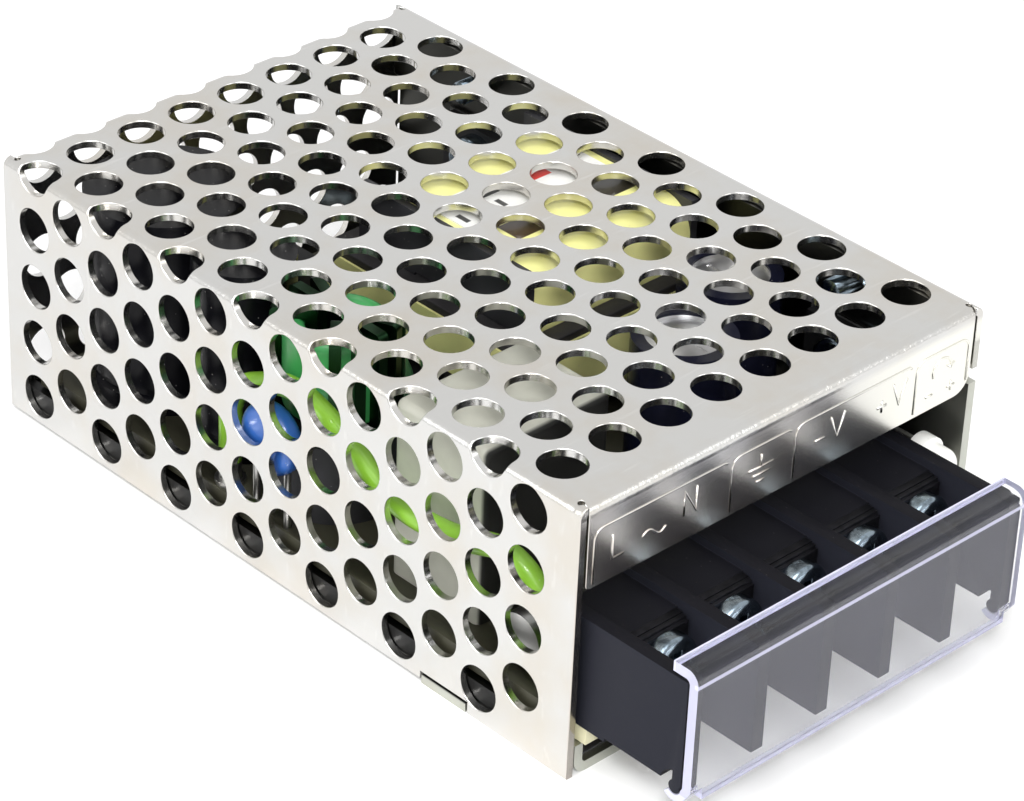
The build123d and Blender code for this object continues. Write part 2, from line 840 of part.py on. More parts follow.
def transformer():
    x0 = coil_mid_x - coil_length / 2
    x1 = coil_mid_x + coil_length / 2
    y0 = coil_mid_y - coil_width / 2
    y1 = coil_mid_y + coil_width / 2
    z0 = board_top + coil_lift
    z1 = cover_under - coil_top_gap
    half_core = core_height / 2
    collar_top = mount_side_height + mount_collar_radius
    mid_z = collar_top + tape_above_collar + half_core - tape_margin
    half_leg = core_centre_width / 2
    inner_x0 = x0 - bobbin_flange - core_play
    inner_x1 = x1 + bobbin_flange + core_play
    leg_y0 = y0 - core_play
    leg_y1 = y1 + core_play
    core = slab(
        inner_x0 - core_plate, inner_x1 + core_plate, leg_y0 - core_leg, leg_y1 + core_leg,
        mid_z - half_core, mid_z + half_core,
    )
    core -= slab(inner_x0, inner_x1, leg_y0, leg_y1, mid_z - core_height, mid_z + core_height)
    core += slab(
        inner_x0, inner_x1, coil_mid_y - half_leg, coil_mid_y + half_leg,
        mid_z - half_core, mid_z + half_core,
    )
    window = bobbin_wall + core_play
    tube = slab(
        x0 - bobbin_flange, x1 + bobbin_flange,
        coil_mid_y - half_leg - window, coil_mid_y + half_leg + window,
        mid_z - half_core - window, mid_z + half_core + window,
    )
    bore = slab(
        x0 - coil_length, x1 + coil_length,
        coil_mid_y - half_leg - core_play, coil_mid_y + half_leg + core_play,
        mid_z - half_core - core_play, mid_z + half_core + core_play,
    )
    bobbin = tube
    pins = []
    for face_x, out in ((x0, -1), (x1, 1)):
        near = min(face_x, face_x + out * bobbin_flange)
        far = max(face_x, face_x + out * bobbin_flange)
        bobbin += slab(near, far, y0, y1, z0 - bobbin_flange_rise, z1 + bobbin_flange_rise)
        foot_out = face_x + out * (bobbin_flange + core_plate)
        foot_in = face_x - out * bobbin_pin_inset
        low_x = min(foot_out, foot_in)
        high_x = max(foot_out, foot_in)
        bobbin += slab(low_x, high_x, y0, y1, board_top, board_top + bobbin_foot_height)
        bobbin += slab(near, far, y0, y1, board_top, z0)
        pin_x = face_x + out * bobbin_pin_inset
        for pin in range(bobbin_pins):
            pin_y = y0 + (pin + 0.5) * coil_width / bobbin_pins
            pins.append(lead(pin_x, pin_y, board_top))
    bobbin -= bore
    coil = rounded_block(x0, x1, y0, y1, z0, z1, coil_corner_radius)
    coil -= tube
    band_z0 = mid_z - half_core + tape_margin
    band_z1 = mid_z + half_core - tape_margin
    band_x0 = inner_x0 - core_plate
    band_x1 = inner_x1 + core_plate
    band_y0 = leg_y0 - core_leg
    band_y1 = leg_y1 + core_leg
    tape = slab(
        band_x0 - tape_thickness, band_x1 + tape_thickness, band_y0 - tape_thickness,
        band_y1 + tape_thickness, band_z0, band_z1,
    )
    tape -= slab(band_x0, band_x1, band_y0, band_y1, band_z0 - cut_over, band_z1 + cut_over)
    label_y = coil_mid_y + label_shift
    label = slab(
        coil_mid_x - label_length / 2, coil_mid_x + label_length / 2,
        label_y - label_width / 2, label_y + label_width / 2, z1, z1 + label_thickness,
    )
    return core, bobbin, coil, tape, label, pins


# Capacitors

def electrolytic(x, y, radius, top_gap, covered):
    # An aluminium can with a pressure vent on top, in a shrunk plastic sleeve that may cover the top.
    base = board_top
    top = cover_under - top_gap
    inner = radius - can_wall
    rim = inner - can_rim
    groove_low = base + can_groove_height - can_groove_width / 2
    groove_high = groove_low + can_groove_width
    slope = can_groove_slope
    outside = [
        (radius, base), (radius, groove_low), (radius - can_groove_depth, groove_low + slope),
        (radius - can_groove_depth, groove_high - slope), (radius, groove_high), (radius, top),
    ]
    inside = [
        (inner, base), (inner, groove_low), (inner - can_groove_depth, groove_low + slope),
        (inner - can_groove_depth, groove_high - slope), (inner, groove_high), (inner, top - can_wall),
    ]
    floor = top - can_wall - can_dish
    can_outline = Polyline(
        (0, base), *inside, (rim, top - can_wall), (rim, floor), (0, floor), close=True
    )
    sleeve_end = 0 if covered else rim
    sleeve_outline = Polyline(
        *outside, (sleeve_end, top), (sleeve_end, top - can_wall), *reversed(inside), close=True
    )
    can = Pos(x, y, 0) * revolve(Plane.XZ * make_face(can_outline), Axis.Z)
    sleeve = Pos(x, y, 0) * revolve(Plane.XZ * make_face(sleeve_outline), Axis.Z)
    half_long = rim * vent_reach_share
    half_wide = vent_width / 2
    low = floor - vent_depth
    can -= slab(x - half_long, x + half_long, y - half_wide, y + half_wide, low, top)
    can -= slab(x - half_wide, x + half_wide, y - half_long, y + half_long, low, top)
    offset = radius * can_lead_share
    leads = [lead(x - offset, y, base), lead(x + offset, y, base)]
    return can, sleeve, leads


def box_capacitor():
    top = cover_under - box_top_gap
    body = slab(box_left_x, box_left_x + box_length, box_front_y, box_front_y + box_depth, board_top, top)
    body = fillet(body.edges().filter_by(Axis.Z) + body.edges().group_by(Axis.Z)[-1], box_round)
    mid_y = box_front_y + box_depth / 2
    inset = box_length * can_lead_share / 3
    ends = (box_left_x + inset, box_left_x + box_length - inset)
    leads = [lead(end, mid_y, board_top) for end in ends]
    return body, leads


def disc(x, y, z, radius, thickness, along_x):
    # A dipped ceramic disc standing on two leads, its flat faces along Y or along X.
    turn = Rot(0, 90, 0) if along_x else Rot(90, 0, 0)
    body = Pos(x, y, z) * turn * Cylinder(radius, thickness)
    body = fillet(body.edges(), thickness * disc_round_share)
    step = radius * disc_lead_share
    drop = math.sqrt(radius**2 - step**2) - thickness * disc_sink_share
    ends = [(x, y - step), (x, y + step)] if along_x else [(x - step, y), (x + step, y)]
    leads = [lead(px, py, z - drop) - body for px, py in ends]
    return body, leads


# Line choke: a coated ring core lying on a round base, wound in two halves

def line_choke():
    base = post(choke_x, choke_y, board_top, choke_base_top, choke_base_radius)
    core_z0 = choke_base_top + 2 * choke_turn_radius
    core_z1 = core_z0 + choke_core_height
    core = post(choke_x, choke_y, core_z0, core_z1, choke_outer_radius - 2 * choke_turn_radius)
    core -= post(choke_x, choke_y, core_z0 - cut_over, core_z1 + cut_over, choke_inner_radius)
    core = fillet(core.edges(), choke_round)
    leads = []
    reach = choke_base_radius - 2 * lead_radius
    for index in range(choke_leads):
        turn = 2 * math.pi * (index + 0.5) / choke_leads
        leads.append(lead(choke_x + reach * math.cos(turn), choke_y + reach * math.sin(turn), board_top))
    windings = []
    for side in (-1, 1):
        turns = []
        for turn in range(choke_turns):
            angle = 90 * side + (turn - (choke_turns - 1) / 2) * choke_turn_step
            turns.append(choke_turn(core_z0, core_z1, angle))
        winding = turns[0]
        for other in turns[1:]:
            winding += other
        windings.append(winding)
    return base, core, windings, leads


def choke_turn(z0, z1, angle):
    # One turn round the ring's section, as a rounded square loop.
    inner_x = math.sqrt(choke_inner_radius**2 - choke_turn_radius**2) - seat_gap
    outer_x = choke_outer_radius - 2 * choke_turn_radius + seat_gap
    half = choke_turn_radius
    ring = slab(inner_x - 2 * half, outer_x + 2 * half, -half, half, z0 - 2 * half, z1 + 2 * half)
    ring = fillet(ring.edges().filter_by(Axis.Y), half)
    ring -= slab(inner_x, outer_x, -choke_outer_radius, choke_outer_radius, z0 - seat_gap, z1 + seat_gap)
    return Pos(choke_x, choke_y, 0) * Rot(0, 0, angle) * ring


# Fuse, rectifier, chips and resistors

def fuse():
    z = board_top + fuse_lift + fuse_radius
    x0 = fuse_x - fuse_length / 2
    x1 = fuse_x + fuse_length / 2
    glass = bar_x(fuse_y, z, x0 + fuse_cap_wall, x1 - fuse_cap_wall, fuse_radius - fuse_cap_wall)
    caps = []
    leads = []
    for end, out in ((x0, 1), (x1, -1)):
        near = min(end, end + out * fuse_cap_length)
        far = max(end, end + out * fuse_cap_length)
        cap = bar_x(fuse_y, z, near, far, fuse_radius)
        cap -= glass
        mid = (near + far) / 2
        caps.append(cap)
        leads.append(lead(mid, fuse_y, z - fuse_radius))
    return glass, Compound(caps), leads


def bridge_rectifier():
    z0 = board_top + bridge_lift
    body = slab(
        bridge_x - bridge_depth / 2, bridge_x + bridge_depth / 2,
        bridge_y - bridge_length / 2, bridge_y + bridge_length / 2, z0, z0 + bridge_height,
    )
    corner = body.edges().filter_by(Axis.X).sort_by(Axis.Z)[-2:].sort_by(Axis.Y)[-1]
    body = chamfer(corner, bridge_depth / 2)
    pitch = bridge_length / bridge_leads
    leads = [
        lead(bridge_x, bridge_y + (index - (bridge_leads - 1) / 2) * pitch, z0)
        for index in range(bridge_leads)
    ]
    return body, leads


def chip(x, y, length, width, leads_per_side):
    z0 = board_top + chip_lift
    body = slab(x - length / 2, x + length / 2, y - width / 2, y + width / 2, z0, z0 + chip_height)
    body = chamfer(body.edges().group_by(Axis.Z)[-1], chip_round)
    pitch = length / leads_per_side
    leads = []
    for side in (-1, 1):
        for index in range(leads_per_side):
            px = x + (index - (leads_per_side - 1) / 2) * pitch
            py = y + side * (width / 2 + lead_radius)
            leads.append(lead(px, py, z0 + chip_height / 2))
    return body, leads


def resistors():
    z = board_top + resistor_lift + resistor_radius
    bodies = []
    leads = []
    for index in range(resistor_count):
        y = resistor_y + index * resistor_pitch
        x0 = resistor_x - resistor_length / 2
        x1 = resistor_x + resistor_length / 2
        body = bar_x(y, z, x0, x1, resistor_radius - resistor_waist)
        body += bar_x(y, z, x0, x0 + resistor_cap, resistor_radius)
        body += bar_x(y, z, x1 - resistor_cap, x1, resistor_radius)
        bodies.append(body)
        for end in (x0 - lead_radius, x1 + lead_radius):
            leads.append(lead(end, y, z + lead_radius))
    return Compound(bodies), leads


# Transistor and diode, screwed to the wall through an insulating pad

def wall_device(y):
    base = device_base
    pad_x = wall_inner - device_pad_thickness
    tab_x = pad_x - device_tab_thickness
    body_x = tab_x - device_body_depth
    half = device_body_width / 2
    hole_z = device_hole_z
    body = slab(body_x, tab_x, y - half, y + half, base, hole_z - device_body_below_hole)
    body = chamfer(body.faces().sort_by(Axis.X)[0].edges(), device_edge)
    body += slab(tab_x, pad_x, y - half, y + half, base, device_top)
    body -= bar_x(y, hole_z, tab_x - cut_over, pad_x + cut_over, device_hole_radius)
    pad_half = half + device_pad_margin
    pad = slab(pad_x, wall_inner, y - pad_half, y + pad_half, base - device_pad_margin, device_top)
    pad -= bar_x(y, hole_z, pad_x - cut_over, wall_inner + cut_over, device_hole_radius)
    head_x = tab_x - device_screw_head_height
    screw = bar_x(y, hole_z, head_x, tab_x, device_screw_head_radius)
    screw = fillet(screw.edges().group_by(Axis.X)[0], device_screw_head_height * head_round_share)
    screw += bar_x(y, hole_z, tab_x, right - sheet_gap, screw_thread_radius)
    place = Pos(head_x, y, hole_z) * Rot(0, -90, 0)
    screw -= [place * slot for slot in cross_slots(cross_length, cross_width, device_screw_head_height / 2)]
    leads = [
        lead((body_x + tab_x) / 2, y + (index - 1) * device_lead_pitch, base)
        for index in range(device_leads)
    ]
    return body, pad, screw, leads


# Output choke: a ferrite drum with its copper

def output_choke():
    base = board_top
    top = base + drum_height
    core = post(drum_x, drum_y, base, top, drum_waist_radius)
    core += post(drum_x, drum_y, base, base + drum_flange, drum_radius)
    core += post(drum_x, drum_y, top - drum_flange, top, drum_radius)
    coil = post(drum_x, drum_y, base + drum_flange, top - drum_flange, drum_radius - drum_wire_radius)
    coil -= post(drum_x, drum_y, base, top, drum_waist_radius)
    offset = drum_radius / 2
    leads = [lead(drum_x - offset, drum_y, base), lead(drum_x + offset, drum_y, base)]
    return core, coil, leads


# Adjuster and lamp beside the terminals

def trimmer():
    face = front + trimmer_back_from_front
    body = slab(
        trimmer_x - trimmer_width / 2, trimmer_x + trimmer_width / 2,
        face, face + trimmer_depth, board_top, board_top + trimmer_height,
    )
    body = fillet(body.edges().filter_by(Axis.Y), trimmer_round)
    z = board_top + rotor_lift
    socket_end = face + rotor_depth + rotor_play
    body -= bar_y(trimmer_x, z, face - cut_over, socket_end, rotor_radius + rotor_play)
    nose = face - rotor_proud
    rotor = bar_y(trimmer_x, z, nose, face + rotor_depth, rotor_radius)
    half = rotor_slot_width / 2
    reach = rotor_radius + cut_over
    slot_floor = nose + rotor_slot_depth
    rotor -= slab(trimmer_x - half, trimmer_x + half, nose - cut_over, slot_floor, z - reach, z + reach)
    leads = [
        lead(trimmer_x + step * device_lead_pitch / 2, face + trimmer_depth / 2, board_top)
        for step in (-1, 1)
    ]
    return body, rotor, leads


def lamp():
    nose = -lamp_nose_forward
    back = nose + lamp_length
    dome = nose + lamp_radius
    body = bar_y(lamp_x, lamp_height, dome, back, lamp_radius)
    body += Pos(lamp_x, dome, lamp_height) * Sphere(lamp_radius)
    body += bar_y(lamp_x, lamp_height, back - lamp_flange_length, back, lamp_flange_radius)
    leads = []
    half = lamp_lead_side / 2
    for step in (-1, 1):
        x = lamp_x + step * lamp_lead_pitch / 2
        far = back + lamp_lead_run
        wire = slab(x - half, x + half, back, far, lamp_height - half, lamp_height + half)
        low = board_under - lead_tail
        lead_places.append((x, far - half))
        wire += slab(x - half, x + half, far - 2 * half, far, low, lamp_height + half)
        leads.append(wire)
    return body, leads


# Earth wire

def earth_wire():
    path = FilletPolyline(*wire_route, radius=wire_radii())
    start = Plane(origin=path @ 0, z_dir=path % 0)
    body = sweep(start * Circle(wire_radius), path=path)
    length = path.length
    volume = math.pi * wire_radius**2 * length
    print("earth wire length", round(length, 1), "volume ratio", round(body.volume / volume, 4))
    pins = []
    for x, y, z in (wire_route[0], wire_route[-1]):
        pins.append((x, y, z))
    return body, pins


def wire_radii():
    # Each arc takes a named share of its shorter run.
    points = [Vector(*point) for point in wire_route]
    radii = []
    for before, here, after in zip(points, points[1:], points[2:]):
        turn = (here - before).get_angle(after - here)
        shorter = min((here - before).length, (after - here).length)
        radii.append(wire_arc_share * shorter / math.tan(math.radians(turn) / 2))
    print("earth wire radii", [round(radius, 1) for radius in radii])
    return radii


def wire_sockets(ends):
    # The two crimp sleeves that the wire ends stand in, soldered into the board.
    sleeves = []
    for x, y, z in ends:
        sleeve = post(x, y, board_top, z, wire_radius)
        sleeve += post(x, y, board_top, board_top + wire_lug_thickness, wire_lug_radius)
        sleeves.append(sleeve)
        lead_places.append((x, y))
    return Compound(sleeves)


def save(name, shape):
    export_step(shape, f"parts/{name}.step")
    print(name, round(shape.volume, 1))


def main():
    os.makedirs("parts", exist_ok=True)
    leads = []
    core, bobbin, coil, tape, label, pins = transformer()
    leads += pins
    save("transformer_core", core)
    save("transformer_bobbin", bobbin)
    save("transformer_winding", coil)
    save("transformer_tape", tape)
    save("transformer_label", label)
    cans = {
        "bulk_capacitor_rear": (bulk_rear_x, bulk_rear_y, bulk_rear_radius, bulk_rear_top_gap),
        "bulk_capacitor_front": (bulk_front_x, bulk_front_y, bulk_front_radius, bulk_front_top_gap),
        "output_capacitor_near": (output_near_x, output_near_y, output_near_radius, output_near_top_gap),
        "output_capacitor_far": (output_far_x, output_far_y, output_far_radius, output_far_top_gap),
    }
    for name, values in cans.items():
        can, sleeve, pins = electrolytic(*values, covered=name.startswith("bulk"))
        leads += pins
        save(name + "_can", can)
        save(name + "_sleeve", sleeve)
    body, pins = box_capacitor()
    leads += pins
    save("line_capacitor", body)
    base, core, windings, pins = line_choke()
    leads += pins
    save("line_choke_base", base)
    save("line_choke_core", core)
    save("line_choke_windings", Compound(windings))
    body, pins = disc(disc_x, disc_y, board_top + disc_height, disc_radius, disc_thickness, True)
    leads += pins
    save("earth_capacitor_left", body)
    body, pins = disc(pair_x, pair_y, board_top + pair_height, disc_radius, disc_thickness, True)
    leads += pins
    save("earth_capacitor_middle", body)
    height = board_top + thermistor_height
    body, pins = disc(thermistor_x, thermistor_y, height, thermistor_radius, thermistor_thickness, True)
    leads += pins
    save("thermistor", body)
    glass, caps, pins = fuse()
    leads += pins
    save("fuse_glass", glass)
    save("fuse_caps", caps)
    body, pins = bridge_rectifier()
    leads += pins
    save("bridge_rectifier", body)
    body, pins = chip(chip_x, chip_y, chip_length, chip_width, chip_lead_rows)
    leads += pins
    save("optocoupler", body)
    body, pins = chip(small_chip_x, small_chip_y, small_chip_length, small_chip_width, 2 * chip_lead_rows)
    leads += pins
    save("control_chip", body)
    body, pins = resistors()
    leads += pins
    save("resistors", body)
    pads = []
    screws = []
    for name, y in (("switching_transistor", transistor_y), ("output_diode", diode_y)):
        body, pad, screw, pins = wall_device(y)
        leads += pins
        pads.append(pad)
        screws.append(screw)
        save(name, body)
    save("insulating_pads", Compound(pads))
    save("device_screws", Compound(screws))
    core, coil, pins = output_choke()
    leads += pins
    save("output_choke_core", core)
    save("output_choke_winding", coil)
    body, rotor, pins = trimmer()
    leads += pins
    save("trimmer_body", body)
    save("trimmer_rotor", rotor)
    body, pins = lamp()
    leads += pins
    save("lamp", body)
    body, ends = earth_wire()
    save("earth_wire", body)
    save("wire_sockets", wire_sockets(ends))
    save("component_leads", Compound(leads))
    save("circuit_board", circuit_board())
    save("insulating_film", insulating_film())
    save("standoffs", standoffs())
    save("board_screws", board_screws())
    save("terminal_block", terminal_block())
    save("terminal_contacts", terminal_contacts())
    for pole, x in enumerate(pole_centres(), start=1):
        save(f"terminal_clamp_{pole}", terminal_clamp(x))
        save(f"terminal_screw_{pole}", terminal_screw(x))
    save("terminal_cover", terminal_cover())
    save("chassis", chassis())
    save("cover_screws", cover_screws())
    save("mesh_cover", mesh_cover())


main()
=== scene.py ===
import json
import math

import bmesh
import bpy
from mathutils import Matrix, Vector, geometry


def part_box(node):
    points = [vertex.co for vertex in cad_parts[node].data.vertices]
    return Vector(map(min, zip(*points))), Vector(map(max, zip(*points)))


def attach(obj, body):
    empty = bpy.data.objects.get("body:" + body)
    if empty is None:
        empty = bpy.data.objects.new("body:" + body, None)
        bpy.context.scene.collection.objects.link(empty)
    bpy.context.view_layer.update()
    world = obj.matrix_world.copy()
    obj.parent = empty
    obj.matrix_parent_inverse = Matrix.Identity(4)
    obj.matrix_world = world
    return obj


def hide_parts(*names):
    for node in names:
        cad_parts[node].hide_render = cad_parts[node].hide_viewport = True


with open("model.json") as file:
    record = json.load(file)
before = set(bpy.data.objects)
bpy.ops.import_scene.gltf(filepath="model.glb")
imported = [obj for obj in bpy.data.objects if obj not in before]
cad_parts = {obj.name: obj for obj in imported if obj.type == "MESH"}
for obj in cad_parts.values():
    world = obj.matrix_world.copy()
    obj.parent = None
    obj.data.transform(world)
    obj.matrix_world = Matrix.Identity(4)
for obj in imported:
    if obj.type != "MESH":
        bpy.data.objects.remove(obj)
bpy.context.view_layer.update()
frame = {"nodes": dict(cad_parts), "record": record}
mm = 0.001
nodes = frame["nodes"]
bodyOf = {node: body for body, members in frame["record"]["behaviour"]["bodies"].items() for node in members}
slotOf = {part["node"]: part["material_slot"] for part in frame["record"]["subparts"]}


# Shader maths written as Python

class Wire:
    # One output of a node, which can be added, multiplied and so on.
    def __init__(self, maker, socket):
        self.maker = maker
        self.socket = socket

    def math(self, operation, *others):
        return self.maker.node("Math", {"operation": operation}, dict(enumerate((self,) + others)))

    def __add__(self, other):
        return self.math("ADD", other)

    __radd__ = __add__

    def __mul__(self, other):
        return self.math("MULTIPLY", other)

    __rmul__ = __mul__

    def __sub__(self, other):
        return self.math("SUBTRACT", other)

    def __rsub__(self, other):
        return self.maker.node("Math", {"operation": "SUBTRACT"}, {0: other, 1: self})

    def clip(self):
        return self.maker.node("Math", {"operation": "ADD", "use_clamp": True}, {0: self, 1: 0.0})

    def above(self, edge, blur):
        # 0 below the edge, 1 above it, with a soft step between.
        ranges = {"From Min": edge - blur, "From Max": edge + blur}
        return self.maker.node("MapRange", {}, {"Value": self, **ranges})


class Maker:
    # Builds the nodes of one material or of the world.
    def __init__(self, tree):
        self.tree = tree
        tree.nodes.clear()

    def node(self, kind, settings, values, output=0):
        made = self.tree.nodes.new("ShaderNode" + kind)
        for name, value in settings.items():
            if name == "stops":
                ramp = made.color_ramp
                while len(ramp.elements) < len(value):
                    ramp.elements.new(0.5)
                for element, (place, colour) in zip(ramp.elements, value):
                    element.position = place
                    element.color = (*colour, 1) if len(colour) == 3 else colour
            else:
                setattr(made, name, value)
        for name, value in values.items():
            socket = made.inputs[name]
            if isinstance(value, Wire):
                self.tree.links.new(value.socket, socket)
            elif socket.type == "RGBA" and len(value) == 3:
                socket.default_value = (*value, 1)
            else:
                socket.default_value = value
        return Wire(self, made.outputs[output])

    def place(self):
        return self.node("TexCoord", {}, {}, "Object")

    def stretched(self, sx, sy, sz):
        # Object coordinates in millimetres, scaled along each axis.
        scale = (sx / mm, sy / mm, sz / mm)
        return self.node("VectorMath", {"operation": "MULTIPLY"}, {0: self.place(), 1: scale})

    def noise(self, perMm, detail=3.0, rough=0.55, along=(1, 1, 1)):
        values = {"Vector": self.stretched(*along), "Scale": perMm, "Detail": detail, "Roughness": rough}
        return self.node("TexNoise", {}, values)

    def flecks(self, perMm):
        return self.node("TexVoronoi", {}, {"Vector": self.stretched(1, 1, 1), "Scale": perMm})

    def here(self, axis):
        # One object coordinate in millimetres.
        return self.node("SeparateXYZ", {}, {0: self.stretched(1, 1, 1)}, axis)

    def facing(self, axis):
        # How far the surface faces along an axis of the object, either way.
        toward = self.node("SeparateXYZ", {}, {0: self.node("TexCoord", {}, {}, "Normal")}, axis)
        return toward.math("ABSOLUTE")

    def region(self, limits):
        # 1 where every limit holds. A limit is an axis, an edge in millimetres, a blur and the side kept.
        inside = None
        for axis, edge, blur, side in limits:
            step = self.here(axis).above(edge, blur)
            if side < 0:
                step = 1 - step
            inside = step if inside is None else inside * step
        return inside

    def patches(self, colour, fields):
        # Lays coloured fields over a colour, one after another.
        for limits, paint in fields:
            colour = self.blendColour(self.region(limits), colour, paint)
        return colour

    def blendColour(self, amount, first, second):
        mixed = self.node("Mix", {"data_type": "RGBA"}, {0: amount, 6: first, 7: second}, 2)
        return mixed

    def bump(self, height, depth, under=None):
        # depth is the height of the relief in millimetres.
        values = {"Height": height, "Distance": depth * mm}
        if under:
            values["Normal"] = under
        return self.node("Bump", {}, values)

    def finish(self, shader, target):
        end = self.tree.nodes.new("ShaderNodeOutput" + target)
        self.tree.links.new(shader.socket, end.inputs["Surface"])


def material(name):
    made = bpy.data.materials.new(name)
    made.use_nodes = True
    return made, Maker(made.node_tree)


def tint(colour, amount):
    return tuple(min(1.0, channel * amount) for channel in colour)


# Finishes

def sheetMetal(name, look):
    # Plated sheet: fine grain, faint warm stains, small scratches and a wavy gloss.
    made, mk = material(name)
    stain = mk.noise(look["stainPerMm"], 4.0, 0.6)
    grain = mk.noise(look["grainPerMm"], 2.0, 0.7)
    scratch = mk.noise(look["scratchPerMm"], 2.0, 0.4, look["scratchAlong"])
    colour = mk.blendColour(stain.above(0.56, 0.12), look["colour"], look["stainColour"])
    colour = mk.blendColour(scratch.above(0.7, 0.05) * look["scratchMark"], colour, tint(look["colour"], 1.25))
    colour = mk.patches(colour, look.get("fields", []))
    rough = stain * look["roughSwing"] + grain * look["grainSwing"] + (look["rough"] - look["roughSwing"] / 2)
    relief = mk.bump(grain, look["grainDepth"])
    for limits, perMm, depth in look.get("creases", []):
        relief = mk.bump(mk.noise(perMm, 3.0, 0.7) * mk.region(limits), depth, under=relief)
    relief = mk.bump(mk.noise(look["wavePerMm"], 1.0, 0.5), look["waveDepth"], under=relief)
    shader = mk.node("BsdfPrincipled", {}, {
        "Base Color": colour, "Metallic": 1.0, "Roughness": rough, "Normal": relief,
    })
    mk.finish(shader, "Material")
    return made


mouldedSkin = {
    "mottlePerMm": 0.5, "swing": 0.12, "skinPerMm": 9.0, "skinDepth": 0.01, "dustPerMm": 1.1, "dustSize": 0.07,
    "dustMark": 0.35, "dustColour": (0.55, 0.53, 0.5), "roughSwing": 0.1, "coat": 0.0, "specular": 0.5,
    "fields": [],
}


def moulded(name, finish):
    # Plastic, resin or lacquer: a colour with mottling, specks of dust and a fine skin.
    made, mk = material(name)
    look = {**mouldedSkin, **finish}
    mottle = mk.noise(look["mottlePerMm"], 3.0)
    skin = mk.noise(look["skinPerMm"], 2.0, 0.6)
    dust = mk.flecks(look["dustPerMm"])
    darker, lighter = (tint(look["colour"], 1 + side * look["swing"]) for side in (-1, 1))
    colour = mk.blendColour(mottle, darker, lighter)
    speck = (1 - dust.above(look["dustSize"], 0.02)) * look["dustMark"]
    colour = mk.blendColour(speck, colour, look["dustColour"])
    colour = mk.patches(colour, look["fields"])
    # Painted light: faces that face along X take a lighter colour.
    if "paintedSideLight" in look:
        colour = mk.blendColour(mk.facing("X").above(0.8, 0.1), colour, look["paintedSideLight"])
    shader = mk.node("BsdfPrincipled", {}, {
        "Base Color": colour, "Roughness": mottle * look["roughSwing"] + look["rough"],
        "Normal": mk.bump(skin, look["skinDepth"]),
        "Coat Weight": look["coat"], "Specular IOR Level": look["specular"],
    })
    mk.finish(shader, "Material")
    return made


def clearPlastic(name, look):
    # Clear plastic with an even haze and scuffs, painted highlights along cut edges and folds, painted light
    # on the faces along X and painted shade on chosen fields.
    made, mk = material(name)
    scuff = mk.noise(look["scuffPerMm"], 3.0, 0.6, look["scuffAlong"])
    haze = mk.noise(look["hazePerMm"], 2.0)
    marks = scuff.above(look["scuffEdge"], 0.02)
    share = haze * look["hazeSwing"] + look["haze"]
    # Painted shade: the milky share is cut over these fields.
    for limits, amount in look.get("paintedShade", []):
        share = share * (1 - mk.region(limits) * amount)
    share = share + marks * look["scuffMark"]
    # Painted highlights: the milky share is raised over these fields to draw bright lines.
    for limits, amount in look.get("paintedHighlights", []):
        share = share + mk.region(limits) * amount
    # Painted light: faces that face along X are made milkier.
    share = share + mk.facing("X").above(0.85, 0.05) * look.get("paintedEndLight", 0.0)
    glass = mk.node("BsdfPrincipled", {}, {
        "Base Color": look["colour"], "Roughness": haze * look["roughSwing"] + look["rough"],
        "Transmission Weight": 1.0, "IOR": look["ior"], "Normal": mk.bump(marks, look["scuffDepth"]),
    })
    milk = mk.node("BsdfPrincipled", {}, {"Base Color": look["milk"], "Roughness": 0.5})
    mk.finish(mk.node("MixShader", {}, {0: share.clip(), 1: glass, 2: milk}), "Material")
    return made


